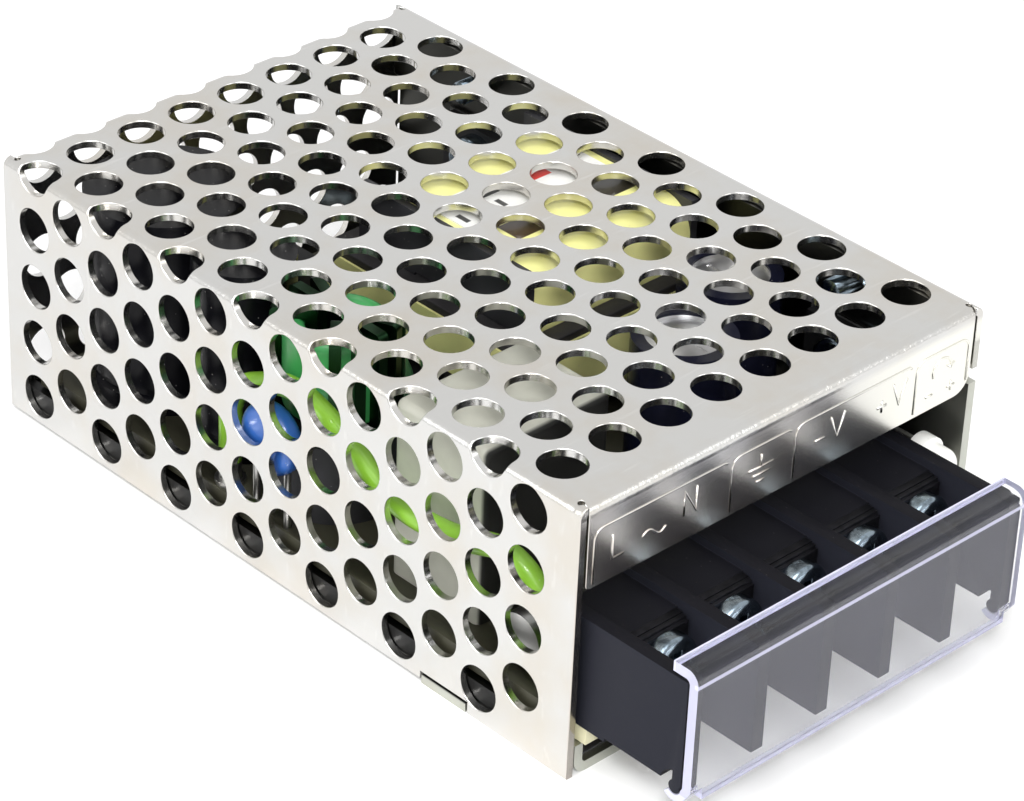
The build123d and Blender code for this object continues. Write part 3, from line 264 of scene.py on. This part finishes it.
def metalFinishes():
    nickel = {
        "colour": (0.62, 0.615, 0.60), "stainColour": (0.60, 0.57, 0.52), "rough": 0.2, "roughSwing": 0.08,
        "grainSwing": 0.05, "grainPerMm": 4.0, "grainDepth": 0.002, "stainPerMm": 0.09, "scratchPerMm": 0.5,
        "scratchAlong": (0.25, 3.0, 1.0), "scratchMark": 0.2, "wavePerMm": 0.16, "waveDepth": 0.015,
    }
    # Painted shade: the inner faces of the tray are painted dark, and its wall beside the board near black.
    shadedInsideCase = [("X", 25.0, 0.2, -1), ("X", -22.0, 0.5, 1), ("Y", -34.5, 2.5, 1), ("Z", 0.7, 0.2, 1)]
    shadedBesideBoard = [("X", -22.0, 0.5, -1), ("Y", -34.5, 0.5, 1), ("Z", 0.9, 0.1, 1), ("Z", 3.9, 0.1, -1)]
    zinc = {**nickel, "colour": (0.50, 0.51, 0.46), "stainColour": (0.45, 0.44, 0.38), "rough": 0.34,
            "fields": [(shadedInsideCase, (0.055, 0.055, 0.05)), (shadedBesideBoard, (0.02, 0.02, 0.02))]}
    bright = {**nickel, "colour": (0.26, 0.32, 0.37), "stainColour": (0.07, 0.09, 0.11), "rough": 0.16,
              "stainPerMm": 0.9, "grainPerMm": 9.0}
    # Metal painted near black for the clamps and contacts: painted shade for the dark pockets they sit in and
    # reflect.
    plate = {**nickel, "colour": (0.022, 0.022, 0.026), "stainColour": (0.012, 0.012, 0.014), "rough": 0.5,
             "stainPerMm": 0.9, "scratchMark": 0.0}
    tin = {**nickel, "colour": (0.50, 0.50, 0.49), "stainColour": (0.4, 0.39, 0.37), "rough": 0.3}
    enamel = {**tin, "colour": (0.16, 0.06, 0.022), "stainColour": (0.1, 0.04, 0.015),
              "fields": [([("X", -4.0, 0.5, -1)], (0.02, 0.055, 0.025))]}
    # The creased folds of the cover, and on the strip over the terminals a painted light reflection at the
    # right end and a painted darker, warm reflection at the left end.
    frontFold = [("Y", -38.1, 0.1, -1), ("Z", 27.0, 0.25, 1)]
    sideFold = [("X", -24.6, 0.1, -1), ("Z", 27.0, 0.25, 1)]
    paintedBrightStripEnd = [("Y", -38.9, 0.1, -1), ("X", 10.0, 7.0, 1), ("Z", 26.6, 0.4, -1)]
    paintedDarkStripEnd = [("Y", -38.9, 0.1, -1), ("X", 2.0, 9.0, -1), ("Z", 23.0, 4.0, -1)]
    cover = {**nickel, "creases": [(frontFold, 1.6, 0.05), (sideFold, 1.2, 0.03)],
             "fields": [(paintedBrightStripEnd, (0.82, 0.81, 0.74)), (paintedDarkStripEnd, (0.60, 0.55, 0.50))]}
    return {
        "cover_steel": sheetMetal("nickelSheet", cover),
        "chassis_steel": sheetMetal("zincSheet", zinc),
        "screw_steel": sheetMetal("zincScrew", bright),
        "contact_plate": sheetMetal("shadedPlate", plate),
        "tin": sheetMetal("solderedTin", tin),
        "can_aluminium": sheetMetal("drawnCan", {**tin, "colour": (0.72, 0.72, 0.73), "rough": 0.3}),
        "copper": sheetMetal("enamelCopper", enamel),
    }


def clearFinishes():
    return {
        "clear_plastic": clearPlastic("hazyClear", {
            "colour": (0.97, 0.975, 0.99), "rough": 0.01, "roughSwing": 0.02, "ior": 1.28, "haze": 0.02,
            "hazeSwing": 0.03, "hazePerMm": 0.12, "milk": (0.66, 0.66, 0.84), "scuffPerMm": 0.9,
            "scuffAlong": (0.55, 1.0, 1.0), "scuffEdge": 0.76, "scuffMark": 0.35, "scuffDepth": 0.001,
            # Painted shade above 16.6 mm, painted light on the faces along X, and painted highlight lines over
            # the lip's rear part, along the front fold and along the bottom.
            "paintedShade": [([("Z", 16.6, 0.1, 1)], 0.85)], "paintedEndLight": 0.75,
            "paintedHighlights": [
                ([("Z", 16.6, 0.05, 1), ("Y", -49.32, 0.05, 1)], 0.9),
                ([("Z", 16.25, 0.05, 1), ("Z", 16.65, 0.05, -1), ("Y", -51.7, 0.1, -1)], 0.6),
                ([("Z", 4.7, 0.1, -1)], 0.45),
            ],
        }),
        "glass": clearPlastic("fuseGlass", {
            "colour": (0.9, 0.93, 0.91), "rough": 0.03, "roughSwing": 0.05, "ior": 1.5, "haze": 0.0,
            "hazeSwing": 0.05, "hazePerMm": 0.5, "milk": (0.8, 0.8, 0.8), "scuffPerMm": 1.0,
            "scuffAlong": (1, 1, 1), "scuffEdge": 0.75, "scuffMark": 0.3, "scuffDepth": 0.004,
        }),
    }


def fromAbove(x0, x1, y0, y1):
    # A field seen from above, with crisp sides.
    return [("X", x0, 0.05, 1), ("X", x1, 0.05, -1), ("Y", y0, 0.05, 1), ("Y", y1, 0.05, -1)]


def plasticFinishes():
    # The board behind its front edge and the front end of the line capacitor, which lie in shade.
    overBoard = [("Y", -37.5, 0.6, 1)]
    frontEnd = [("Y", -22.35, 0.12, -1)]
    ink = (0.06, 0.06, 0.06)
    labelBars = [
        (fromAbove(11.9, 14.4, 5.6, 7.4), (0.70, 0.06, 0.05)),
        (fromAbove(16.6, 19.0, 6.4, 6.9), ink), (fromAbove(17.0, 17.6, 3.6, 4.6), ink),
        (fromAbove(5.6, 8.2, 6.2, 6.7), ink), (fromAbove(6.4, 7.0, 3.8, 5.2), ink),
        (fromAbove(1.6, 2.2, 3.8, 5.4), ink), (fromAbove(10.6, 12.9, 3.2, 3.6), ink),
    ]
    # Where the dark core shows through the tape.
    coreMarks = [
        (fromAbove(3.4, 6.6, -1.4, 1.6), (0.05, 0.028, 0.015)),
        (fromAbove(15.4, 19.9, -1.2, 2.0), (0.03, 0.026, 0.02)),
    ]
    plastics = {
        # The terminal block's faces along X carry painted light, a lighter colour than its other faces.
        "block_plastic": {"colour": (0.0055, 0.0055, 0.008), "rough": 0.5, "skinDepth": 0.01, "dustMark": 0.1,
                          "swing": 0.25, "specular": 0.1, "dustSize": 0.05,
                          "paintedSideLight": (0.019, 0.020, 0.028)},
        "board_laminate": {"colour": (0.66, 0.63, 0.42), "rough": 0.5,
                           "fields": [(overBoard, (0.05, 0.048, 0.03))]},
        "film": {"colour": (0.04, 0.04, 0.045), "rough": 0.45},
        "ferrite": {"colour": (0.03, 0.028, 0.03), "rough": 0.55, "skinDepth": 0.03, "specular": 0.3},
        "bobbin_plastic": {"colour": (0.03, 0.03, 0.034), "rough": 0.5},
        "tape_yellow": {"colour": (0.95, 0.91, 0.38), "rough": 0.3, "coat": 0.3, "swing": 0.1,
                        "mottlePerMm": 0.3, "fields": coreMarks},
        "label_white": {"colour": (0.86, 0.86, 0.84), "rough": 0.5, "fields": labelBars},
        "sleeve_black": {"colour": (0.006, 0.006, 0.008), "rough": 0.16, "specular": 0.14},
        "sleeve_navy": {"colour": (0.010, 0.011, 0.026), "rough": 0.2, "specular": 0.2},
        "capacitor_cream": {"colour": (0.62, 0.62, 0.54), "rough": 0.38,
                            "fields": [(frontEnd, (0.03, 0.03, 0.028))]},
        "disc_blue": {"colour": (0.03, 0.13, 0.48), "rough": 0.3, "coat": 0.3},
        "disc_green": {"colour": (0.05, 0.17, 0.08), "rough": 0.35, "coat": 0.3},
        "choke_green": {"colour": (0.07, 0.46, 0.13), "rough": 0.32, "coat": 0.3},
        "epoxy_black": {"colour": (0.015, 0.015, 0.016), "rough": 0.5, "skinDepth": 0.02, "specular": 0.3},
        "resistor_tan": {"colour": (0.66, 0.50, 0.32), "rough": 0.35, "coat": 0.3},
        "pad_grey": {"colour": (0.12, 0.12, 0.12), "rough": 0.6},
        "rotor_white": {"colour": (0.84, 0.83, 0.78), "rough": 0.35},
        "lamp_milky": {"colour": (0.90, 0.90, 0.86), "rough": 0.3, "coat": 0.2},
        "wire_green": {"colour": (0.30, 0.62, 0.05), "rough": 0.32, "coat": 0.3},
    }
    return {slot: moulded(slot.replace("_", ""), look) for slot, look in plastics.items()}


finishes = {**metalFinishes(), **clearFinishes(), **plasticFinishes()}
for nodeName, cadObject in nodes.items():
    cadObject.data.materials.clear()
    cadObject.data.materials.append(finishes[slotOf[nodeName]])
print("finishes made:", len(finishes))


# Shared mesh tools

def addPiece(name, mesh, node, replaces=True):
    # A new object that rides with a node's body and takes its finish.
    piece = bpy.data.objects.new(name, mesh)
    bpy.context.scene.collection.objects.link(piece)
    mesh.materials.clear()
    mesh.materials.append(finishes[slotOf[node]])
    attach(piece, bodyOf[node])
    if replaces:
        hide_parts(node)
    return piece


def softEdges(node, name, width, segments=2, smooth=True):
    # A copy of a node whose sharp edges are rounded, as moulded or pressed edges are.
    made = bmesh.new()
    made.from_mesh(nodes[node].data)
    bmesh.ops.remove_doubles(made, verts=made.verts, dist=0.002 * mm)
    limit = math.radians(0.6)
    bmesh.ops.dissolve_limit(made, angle_limit=limit, verts=made.verts, edges=made.edges)
    mesh = bpy.data.meshes.new(name)
    made.to_mesh(mesh)
    made.free()
    piece = addPiece(name, mesh, node)
    bevel = piece.modifiers.new("edges", "BEVEL")
    bevel.width = width * mm
    bevel.segments = segments
    bevel.limit_method = "ANGLE"
    bevel.angle_limit = math.radians(32)
    bevel.harden_normals = smooth
    bevel.use_clamp_overlap = True
    if smooth:
        mesh.shade_smooth()
    else:
        mesh.shade_flat()
    return piece


def tubeMesh(name, path, radius, sides, squash, up):
    # A tube with flat ends along a list of points, squashed along its up direction.
    made = bmesh.new()
    rings = []
    points = [Vector(point) for point in path]
    for index, point in enumerate(points):
        before = points[max(index - 1, 0)]
        after = points[min(index + 1, len(points) - 1)]
        ahead = (after - before).normalized()
        side = ahead.cross(up).normalized()
        lift = side.cross(ahead).normalized()
        ring = []
        for step in range(sides):
            turn = 2 * math.pi * step / sides
            across = side * radius * math.cos(turn)
            ring.append(made.verts.new(point + across + lift * radius * squash * math.sin(turn)))
        rings.append(ring)
    for first, second in zip(rings, rings[1:]):
        for step in range(sides):
            following = (step + 1) % sides
            made.faces.new((first[step], first[following], second[following], second[step]))
    made.faces.new(rings[0][::-1])
    made.faces.new(rings[-1])
    bmesh.ops.recalc_face_normals(made, faces=made.faces)
    mesh = bpy.data.meshes.new(name)
    made.to_mesh(mesh)
    made.free()
    mesh.shade_smooth()
    return mesh


def arcPoints(centre, radius, start, end, steps):
    # Points on an arc in the XZ plane, angles in degrees from +X towards +Z.
    turns = [math.radians(start + (end - start) * step / steps) for step in range(steps + 1)]
    return [(centre[0] + radius * math.cos(turn), centre[1] + radius * math.sin(turn)) for turn in turns]


# The perforated cover, worked out flat and then folded

coverSheet = {
    "thickness": 0.8, "foldRadius": 1.0, "neutral": 0.13, "foldSteps": 7,
    "holeRadius": 2.25, "holeSides": 36, "pitchAcross": 6.2, "pitchAlong": 5.184,
    "firstColumnInset": 0.8, "firstRowPastRear": 0.756, "rowsOnTop": 15, "columnsOnTop": 8, "sideColumns": 4,
    "rearRows": 4, "roll": 0.15, "rollSteps": 4, "burr": 0.06, "edgeRoll": 0.09,
    "stripHeight": 8.6, "stripCorner": 2.0, "stripSmallCorner": 0.6, "rightFlap": 6.5,
    "rearLift": 0.8, "sideLift": 0.4, "notchLift": 1.2,
    "notchLength": 6.1, "notchFromFront": 12.6, "relief": 0.3, "slit": 0.05,
    "screwSpacing": 50.0, "screwDrop": 3.1, "screwHole": 2.32,
}


class FoldedSheet:
    # Turns a point of the flat blank, with a depth below its outer face, into a point of the folded cover.
    def __init__(self, sheet, box):
        low, high = box
        self.sheet = sheet
        self.radius = sheet["foldRadius"]
        self.left = low[0] / mm
        self.front = low[1] / mm
        self.rear = high[1] / mm
        self.top = high[2] / mm
        self.flatU = -self.left - self.radius
        self.flatV = self.rear - self.radius
        self.arc = math.pi / 2 * (self.radius - sheet["neutral"])

    def bend(self, past, depth):
        # How far out and how far up a point lies that is past the flat by a length of sheet.
        if past <= 0:
            return past, -depth, 0.0
        if past >= self.arc:
            return self.radius - depth, -self.radius - (past - self.arc), math.pi / 2
        turn = past / self.arc * math.pi / 2
        reach = self.radius - depth
        return reach * math.sin(turn), reach * math.cos(turn) - self.radius, turn

    def place(self, u, v, depth):
        # Position, outward normal and the two directions of the sheet, in millimetres.
        if abs(u) > self.flatU:
            side = math.copysign(1, u)
            out, up, turn = self.bend(abs(u) - self.flatU, depth)
            point = Vector((side * (self.flatU + out), v, self.top + up))
            normal = Vector((side * math.sin(turn), 0, math.cos(turn)))
            alongU = Vector((math.cos(turn), 0, -side * math.sin(turn)))
            return point, normal, alongU, Vector((0, 1, 0))
        side = math.copysign(1, v)
        out, up, turn = self.bend(abs(v) - self.flatV, depth)
        point = Vector((u, side * (self.flatV + out), self.top + up))
        normal = Vector((0, side * math.sin(turn), math.cos(turn)))
        return point, normal, Vector((1, 0, 0)), Vector((0, math.cos(turn), -side * math.sin(turn)))

    def blankEdge(self):
        # The outline of the flat blank, anticlockwise from the rear right corner of the top.
        s = self.sheet
        down = self.top - self.radius + self.arc
        u, v, slit = self.flatU, self.flatV, s["slit"]
        relief = s["relief"]
        rearEnd = v + down - s["rearLift"]
        frontEnd = -(v + self.arc + s["stripHeight"] - self.radius)
        sideEnd = -(u + down)
        rightEnd = u + self.arc + s["rightFlap"] - self.radius
        notchFront = self.front + s["notchFromFront"]
        notchRear = notchFront + s["notchLength"]

        def corner(cu, cv, start, end, reach):
            turns = [math.radians(start + (end - start) * step / 8) for step in range(9)]
            return [(cu + reach * math.cos(turn), cv + reach * math.sin(turn)) for turn in turns]

        lean = math.degrees(math.asin(slit / relief))
        stripSide = u - slit
        points = [(stripSide, rearEnd), (-stripSide, rearEnd)]
        points += self.reliefArc(-u, v, 90 - lean, 90 + lean)
        points += [(-u - slit, self.rear), (sideEnd + s["sideLift"], self.rear)]
        points += [(sideEnd + s["sideLift"], notchRear), (sideEnd + s["notchLift"], notchRear)]
        points += [(sideEnd + s["notchLift"], notchFront), (sideEnd, notchFront)]
        points += [(sideEnd, self.front), (-u - slit, self.front)]
        points += self.reliefArc(-u, -v, 270 - lean, 270 + lean)
        small, large = s["stripSmallCorner"], s["stripCorner"]
        points += corner(-stripSide + small, frontEnd + small, 180, 270, small)
        points += corner(stripSide - large, frontEnd + large, 270, 360, large)
        points += self.reliefArc(u, -v, -90 - lean, -90 + lean)
        points += [(u + slit, self.front), (rightEnd, self.front)]
        points += [(rightEnd, self.rear), (u + slit, self.rear)]
        points += self.reliefArc(u, v, 90 - lean, 90 + lean)
        return points

    def reliefArc(self, cu, cv, start, end):
        # The small round relief at the corner of the folds, walked the long way round inside the sheet.
        relief = self.sheet["relief"]
        inward = math.degrees(math.atan2(-cv, -cu)) % 360
        start, end = start % 360, end % 360
        sweep = (end - start) % 360
        if (inward - start) % 360 > sweep:
            sweep -= 360
        steps = 14
        turns = [math.radians(start + sweep * step / steps) for step in range(steps + 1)]
        return [(cu + relief * math.cos(turn), cv + relief * math.sin(turn)) for turn in turns]

    def holes(self):
        # Every hole: its middle, its radius at the outer face, its roll and its radius at the inner face.
        # The staggered pattern is on the top, down the left side and down the rear.
        s = self.sheet
        firstU = self.left + s["firstColumnInset"]
        firstV = self.rear + s["firstRowPastRear"]
        found = []
        for row in range(-s["rearRows"], s["rowsOnTop"]):
            shift = 0.5 if row % 2 == 0 else 0
            lowest = 1 if row < 0 and shift == 0 else 0
            if row > 0:
                lowest = -s["sideColumns"]
            for column in range(lowest, s["columnsOnTop"]):
                u = firstU + (column + shift) * s["pitchAcross"]
                v = firstV - row * s["pitchAlong"]
                found.append((Vector((u, v)), s["holeRadius"], s["roll"], s["holeRadius"] + s["burr"]))
        screwU = self.flatU + self.arc + s["screwDrop"] - self.radius
        for v in (-s["screwSpacing"] / 2, s["screwSpacing"] / 2):
            found.append((Vector((screwU, v)), s["screwHole"], s["edgeRoll"], s["screwHole"] - s["thickness"]))
        return found


def meshCover(sheet):
    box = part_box("mesh_cover")
    fold = FoldedSheet(sheet, box)
    holes = fold.holes()
    outline = fold.blankEdge()
    sides = sheet["holeSides"]
    turns = [2 * math.pi * (step + 0.5) / sides for step in range(sides)]
    points = [Vector(point) for point in outline]
    faces = [list(range(len(outline)))]
    for middle, radius, roll, _ in holes:
        start = len(points)
        points += [middle + (radius + roll) * Vector((math.cos(turn), math.sin(turn))) for turn in turns]
        faces.append(list(range(start, start + sides)))
    edges = []
    for step in range(sheet["foldSteps"] + 1):
        share = step / sheet["foldSteps"]
        u = fold.flatU + fold.arc * share
        v = fold.flatV + fold.arc * share
        for line in (((-u, fold.front), (-u, fold.rear)), ((u, fold.front), (u, fold.rear)),
                     ((-fold.flatU, v), (fold.flatU, v)), ((-fold.flatU, -v), (fold.flatU, -v))):
            edges.append((len(points), len(points) + 1))
            points += [Vector(line[0]), Vector(line[1])]
    verts, _, tris, _, _, inside = geometry.delaunay_2d_cdt(points, edges, faces, 0, 1e-5)
    kept = [tri for tri, owners in zip(tris, inside) if owners == [0]]
    buildSheet(sheet, fold, verts, kept, holes)


def buildSheet(sheet, fold, flatVerts, tris, holes):
    # Two faces of the sheet, with rolled rims round each hole and small rolls along every cut edge.
    holeAt = {}

    def nearestHole(point):
        for hole in holes:
            if abs((point - hole[0]).length - hole[1] - hole[2]) < 0.03:
                return hole
        return None

    used = sorted({vert for tri in tris for vert in tri})
    seen = {}
    for tri in tris:
        for first, second in zip(tri, tri[1:] + tri[:1]):
            seen[(first, second)] = True
    border = [(first, second) for first, second in seen if (second, first) not in seen]
    following = dict(border)
    before = {second: first for first, second in border}
    for vert in following:
        hole = nearestHole(flatVerts[vert])
        if hole:
            holeAt[vert] = hole
    positions, normals, quads = [], [], []

    def add(u, v, depth, normal=None):
        point, outward, alongU, alongV = fold.place(u, v, depth)
        positions.append(point * mm)
        normals.append(normal(outward, alongU, alongV) if normal else outward)
        return len(positions) - 1

    def inwardAt(vert):
        # The direction into the metal at a point of a cut edge, and how far a mitre stretches it.
        here, last, ahead = flatVerts[vert], flatVerts[before[vert]], flatVerts[following[vert]]
        first = (here - last).normalized()
        second = (ahead - here).normalized()
        inward = Vector((-first.y - second.y, first.x + second.x))
        if inward.length < 0.2:
            return Vector((-first.y, first.x))
        return inward / max(0.5, inward.length_squared / 2)

    profile = []
    steps = sheet["rollSteps"]
    thickness = sheet["thickness"]
    for step in range(steps + 1):
        turn = math.pi / 2 * step / steps
        profile.append((1 - math.sin(turn), 1 - math.cos(turn), turn))

    top, bottom = {}, {}
    for vert in used:
        point = flatVerts[vert]
        if vert in holeAt:
            middle, _, _, lowRadius = holeAt[vert]
            low = middle + (point - middle).normalized() * lowRadius
            top[vert] = add(point.x, point.y, 0)
            bottom[vert] = add(low.x, low.y, thickness, lambda n, a, b: -n)
        elif vert in following:
            inner = point + inwardAt(vert) * sheet["edgeRoll"]
            top[vert] = add(inner.x, inner.y, 0)
            bottom[vert] = add(inner.x, inner.y, thickness, lambda n, a, b: -n)
        else:
            top[vert] = add(point.x, point.y, 0)
            bottom[vert] = add(point.x, point.y, thickness, lambda n, a, b: -n)
    for tri in tris:
        quads.append([top[vert] for vert in tri])
        quads.append([bottom[vert] for vert in reversed(tri)])

    def ringFor(vert):
        # The points down the cut, from the outer face to the inner one.
        point = flatVerts[vert]
        chain = [top[vert]]
        if vert in holeAt:
            middle, radius, size, lowRadius = holeAt[vert]
            wall = (point - middle).normalized()
            reach = middle + wall * radius
            foot = middle + wall * min(radius, lowRadius + sheet["burr"])
        else:
            size, reach, wall, foot = sheet["edgeRoll"], point, inwardAt(vert), point
        face = -wall.normalized()

        def turned(turn):
            lean, rise = math.sin(turn), math.cos(turn)
            return lambda n, a, b: (n * rise + (a * face.x + b * face.y) * lean).normalized()

        for along, depth, turn in profile[1:]:
            at = reach + wall * along * size
            chain.append(add(at.x, at.y, depth * size, turned(turn)))
        chain.append(add(foot.x, foot.y, thickness - sheet["burr"], turned(math.pi / 2)))
        chain.append(bottom[vert])
        return chain

    rings = {vert: ringFor(vert) for vert in following}
    for first, second in border:
        near, far = rings[first], rings[second]
        for step in range(len(near) - 1):
            quads.append([far[step], near[step], near[step + 1], far[step + 1]])
    mesh = bpy.data.meshes.new("meshCover")
    mesh.from_pydata(positions, [], quads)
    mesh.shade_smooth()
    mesh.normals_split_custom_set_from_vertices(normals)
    piece = addPiece("mesh_cover_folded", mesh, "mesh_cover")
    print("cover: holes", len(holes), "faces", len(quads))
    return piece


meshCover(coverSheet)


# Stamped marks on the strip over the terminals

# Each stroke is a list of x and z in millimetres on the strip's outer face.
stripMarks = {
    "relief": 0.09, "sides": 8,
    "frameHalf": 0.12, "letterHalf": 0.14, "waveHalf": 0.126, "adjusterHalf": 0.112,
    "frames": {"spans": [(-23.7, -7.7), (-7.1, 0.3), (0.9, 16.1)], "top": 25.3, "low": 19.9,
               "corner": 1.1, "openCorner": 0.5},
    "adjusterFrame": {"span": (16.8, 23.9), "endLow": 20.7},
    "letters": {
        "live": [(-21.5, 24.0), (-21.5, 21.5), (-20.1, 21.5)],
        "neutral": [(-12.9, 22.0), (-12.9, 24.5), (-11.4, 22.0), (-11.4, 24.5)],
        "earthStem": [(-3.4, 24.3), (-3.4, 23.0)],
        "earthWide": [(-4.95, 23.0), (-1.85, 23.0)],
        "earthMiddle": [(-4.4, 22.28), (-2.4, 22.28)],
        "earthNarrow": [(-3.9, 21.56), (-2.9, 21.56)],
        "minusSign": [(3.5, 22.6), (4.7, 22.6)],
        "minusLetter": [(5.5, 24.3), (6.4, 21.9), (7.3, 24.3)],
        "plusAcross": [(11.7, 22.6), (12.9, 22.6)],
        "plusUp": [(12.3, 22.0), (12.3, 23.2)],
        "plusLetter": [(13.7, 24.3), (14.6, 21.9), (15.5, 24.3)],
    },
    "wave": {"left": -17.9, "middle": 22.05, "length": 2.88, "swing": 0.42, "steps": 18},
    "turnArc": {"centre": (20.35, 23.2), "radius": 1.25, "from": 200, "to": -10,
                "barbs": [(-0.5, 0.45), (0.42, 0.55)]},
    "adjusterSigns": [
        [(18.4, 21.0), (19.3, 21.0)], [(21.3, 21.0), (22.3, 21.0)], [(21.8, 20.5), (21.8, 21.5)],
    ],
}


def framePaths(marks):
    # Frames open at the bottom, the last one with a right side.
    frames, last = marks["frames"], marks["adjusterFrame"]
    top, low, corner, openCorner = (frames[key] for key in ("top", "low", "corner", "openCorner"))
    paths = []
    for left, right in frames["spans"]:
        turn = arcPoints((left + corner, top - corner), corner, 180, 90, 5)
        end = arcPoints((right - openCorner, top - openCorner), openCorner, 90, 30, 3)
        paths.append([(left, low)] + turn + end)
    left, right = last["span"]
    turn = arcPoints((left + corner, top - corner), corner, 180, 90, 5)
    end = arcPoints((right - corner, top - corner), corner, 90, 0, 5)
    paths.append([(left, low)] + turn + end + [(right, last["endLow"])])
    return paths


def wavePath(wave):
    # One full wave.
    path = []
    for step in range(wave["steps"] + 1):
        share = step / wave["steps"]
        rise = wave["swing"] * math.sin(2 * math.pi * share)
        path.append((wave["left"] + wave["length"] * share, wave["middle"] + rise))
    return path


def turnPaths(arc):
    # An arc with an arrow head at its end.
    path = arcPoints(arc["centre"], arc["radius"], arc["from"], arc["to"], 10)
    tipX, tipZ = path[-1]
    first, second = [(tipX + x, tipZ + z) for x, z in arc["barbs"]]
    return [path, [first, (tipX, tipZ), second]]


def stampedMarks(marks):
    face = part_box("mesh_cover")[0][1] / mm
    strokes = [(path, marks["frameHalf"]) for path in framePaths(marks)]
    strokes += [(path, marks["letterHalf"]) for path in marks["letters"].values()]
    strokes += [(wavePath(marks["wave"]), marks["waveHalf"])]
    strokes += [(path, marks["adjusterHalf"]) for path in turnPaths(marks["turnArc"]) + marks["adjusterSigns"]]
    meshes = []
    for points, half in strokes:
        path = [Vector((x, face, z)) * mm for x, z in points]
        squash = marks["relief"] / half
        meshes.append(tubeMesh("stroke", path, half * mm, marks["sides"], squash, Vector((0, -1, 0))))
    joined = joinMeshes("stripMarks", meshes)
    return addPiece("strip_marks", joined, "mesh_cover", replaces=False)


def joinMeshes(name, meshes):
    made = bmesh.new()
    for mesh in meshes:
        made.from_mesh(mesh)
        bpy.data.meshes.remove(mesh)
    joined = bpy.data.meshes.new(name)
    made.to_mesh(joined)
    made.free()
    joined.shade_smooth()
    return joined


stampedMarks(stripMarks)
print("marks stamped")


# Moulded and pressed pieces with softened edges

softened = {
    "terminal_block": (0.12, 2), "terminal_contacts": (0.06, 2), "lamp": (0.06, 2), "trimmer_body": (0.08, 2),
    "trimmer_rotor": (0.05, 1), "circuit_board": (0.03, 1), "transformer_core": (0.15, 2),
    "line_capacitor": (0.1, 2), "bridge_rectifier": (0.12, 2), "cover_screws": (0.04, 1),
}
wideFaced = {"terminal_cover": (0.13, 3), "chassis": (0.05, 1)}
poleEdges = {"terminal_clamp": 0.07, "terminal_screw": 0.06}
for nodeName, (width, segments) in softened.items():
    softEdges(nodeName, nodeName + "_soft", width, segments)
for nodeName, (width, segments) in wideFaced.items():
    softEdges(nodeName, nodeName + "_soft", width, segments, smooth=False)
for kind, width in poleEdges.items():
    for pole in range(1, 6):
        nodeName = f"{kind}_{pole}"
        softEdges(nodeName, nodeName + "_soft", width)
print("edges softened:", len(softened) + len(wideFaced))


# Camera, as the photograph was taken

cameraSetup = {
    "place": (-218.02, -223.32, 208.54), "azimuth": -44.936, "elevation": 32.532, "roll": 2.513, "lens": 137.3,
}


def addCamera(setup):
    data = bpy.data.cameras.new("camera")
    data.lens = setup["lens"]
    data.sensor_width = 36
    data.clip_start = 0.01
    data.clip_end = 20
    camera = bpy.data.objects.new("camera", data)
    bpy.context.scene.collection.objects.link(camera)
    heading = Matrix.Rotation(math.radians(setup["azimuth"]), 4, "Z")
    tilt = Matrix.Rotation(math.radians(90 - setup["elevation"]), 4, "X")
    roll = Matrix.Rotation(math.radians(setup["roll"]), 4, "Z")
    camera.matrix_world = Matrix.Translation(Vector(setup["place"]) * mm) @ heading @ tilt @ roll
    bpy.context.scene.camera = camera


addCamera(cameraSetup)


# Floor and light

studio = {
    "floorSize": 3.0, "floorColour": (0.93, 0.93, 0.93), "floorGlow": 0.12, "worldLight": 0.5,
    "lamps": {
        "keyAbove": {"place": (-0.25, -0.15, 0.75), "aim": (0, 0, 0), "size": 0.6, "power": 3.2},
        "fillLeft": {"place": (-0.7, 0.25, 0.35), "aim": (0, 0, 0.01), "size": 0.5, "power": 1.6},
        "fillFront": {"place": (0.25, -0.75, 0.3), "aim": (0, 0, 0.01), "size": 0.5, "power": 1.4},
        "besideCamera": {"place": (-0.25, -0.28, 0.34), "aim": (0, 0, 0.01), "size": 0.1, "power": 1.05},
    },
}


def seenWhite(mk):
    # 1 for the camera and for what mirrors or clear plastic show, 0 for the light that falls on things.
    rays = [mk.node("LightPath", {}, {}, f"Is {kind} Ray") for kind in ("Camera", "Glossy", "Transmission")]
    return (rays[0] + rays[1] + rays[2]).clip()


def addFloor(setup):
    half = setup["floorSize"] / 2
    mesh = bpy.data.meshes.new("floor")
    corners = [(-half, -half, 0), (half, -half, 0), (half, half, 0), (-half, half, 0)]
    mesh.from_pydata(corners, [], [(0, 1, 2, 3)])
    floor = bpy.data.objects.new("floor", mesh)
    bpy.context.scene.collection.objects.link(floor)
    made, mk = material("paperFloor")
    tone = mk.noise(0.02, 2.0)
    colour = mk.blendColour(tone, setup["floorColour"], tint(setup["floorColour"], 0.985))
    paper = mk.node("BsdfPrincipled", {}, {"Base Color": colour, "Roughness": 0.8})
    glow = mk.node("Emission", {}, {"Strength": seenWhite(mk) * setup["floorGlow"]})
    mk.finish(mk.node("AddShader", {}, {0: paper, 1: glow}), "Material")
    mesh.materials.append(made)


def addLamps(setup):
    for name, lamp in setup["lamps"].items():
        data = bpy.data.lights.new(name, "AREA")
        data.shape = "DISK"
        data.size = lamp["size"]
        data.energy = lamp["power"]
        light = bpy.data.objects.new(name, data)
        bpy.context.scene.collection.objects.link(light)
        light.location = lamp["place"]
        toward = Vector(lamp["aim"]) - Vector(lamp["place"])
        light.rotation_euler = toward.to_track_quat("-Z", "Y").to_euler()


def addWorld(setup):
    world = bpy.data.worlds.new("studio")
    bpy.context.scene.world = world
    world.use_nodes = True
    mk = Maker(world.node_tree)
    strength = seenWhite(mk) * (1 - setup["worldLight"]) + setup["worldLight"]
    mk.finish(mk.node("Background", {}, {"Color": (1, 1, 1), "Strength": strength}), "World")


addFloor(studio)
addLamps(studio)
addWorld(studio)
bpy.context.scene.view_settings.view_transform = "Standard"
print("stage set")
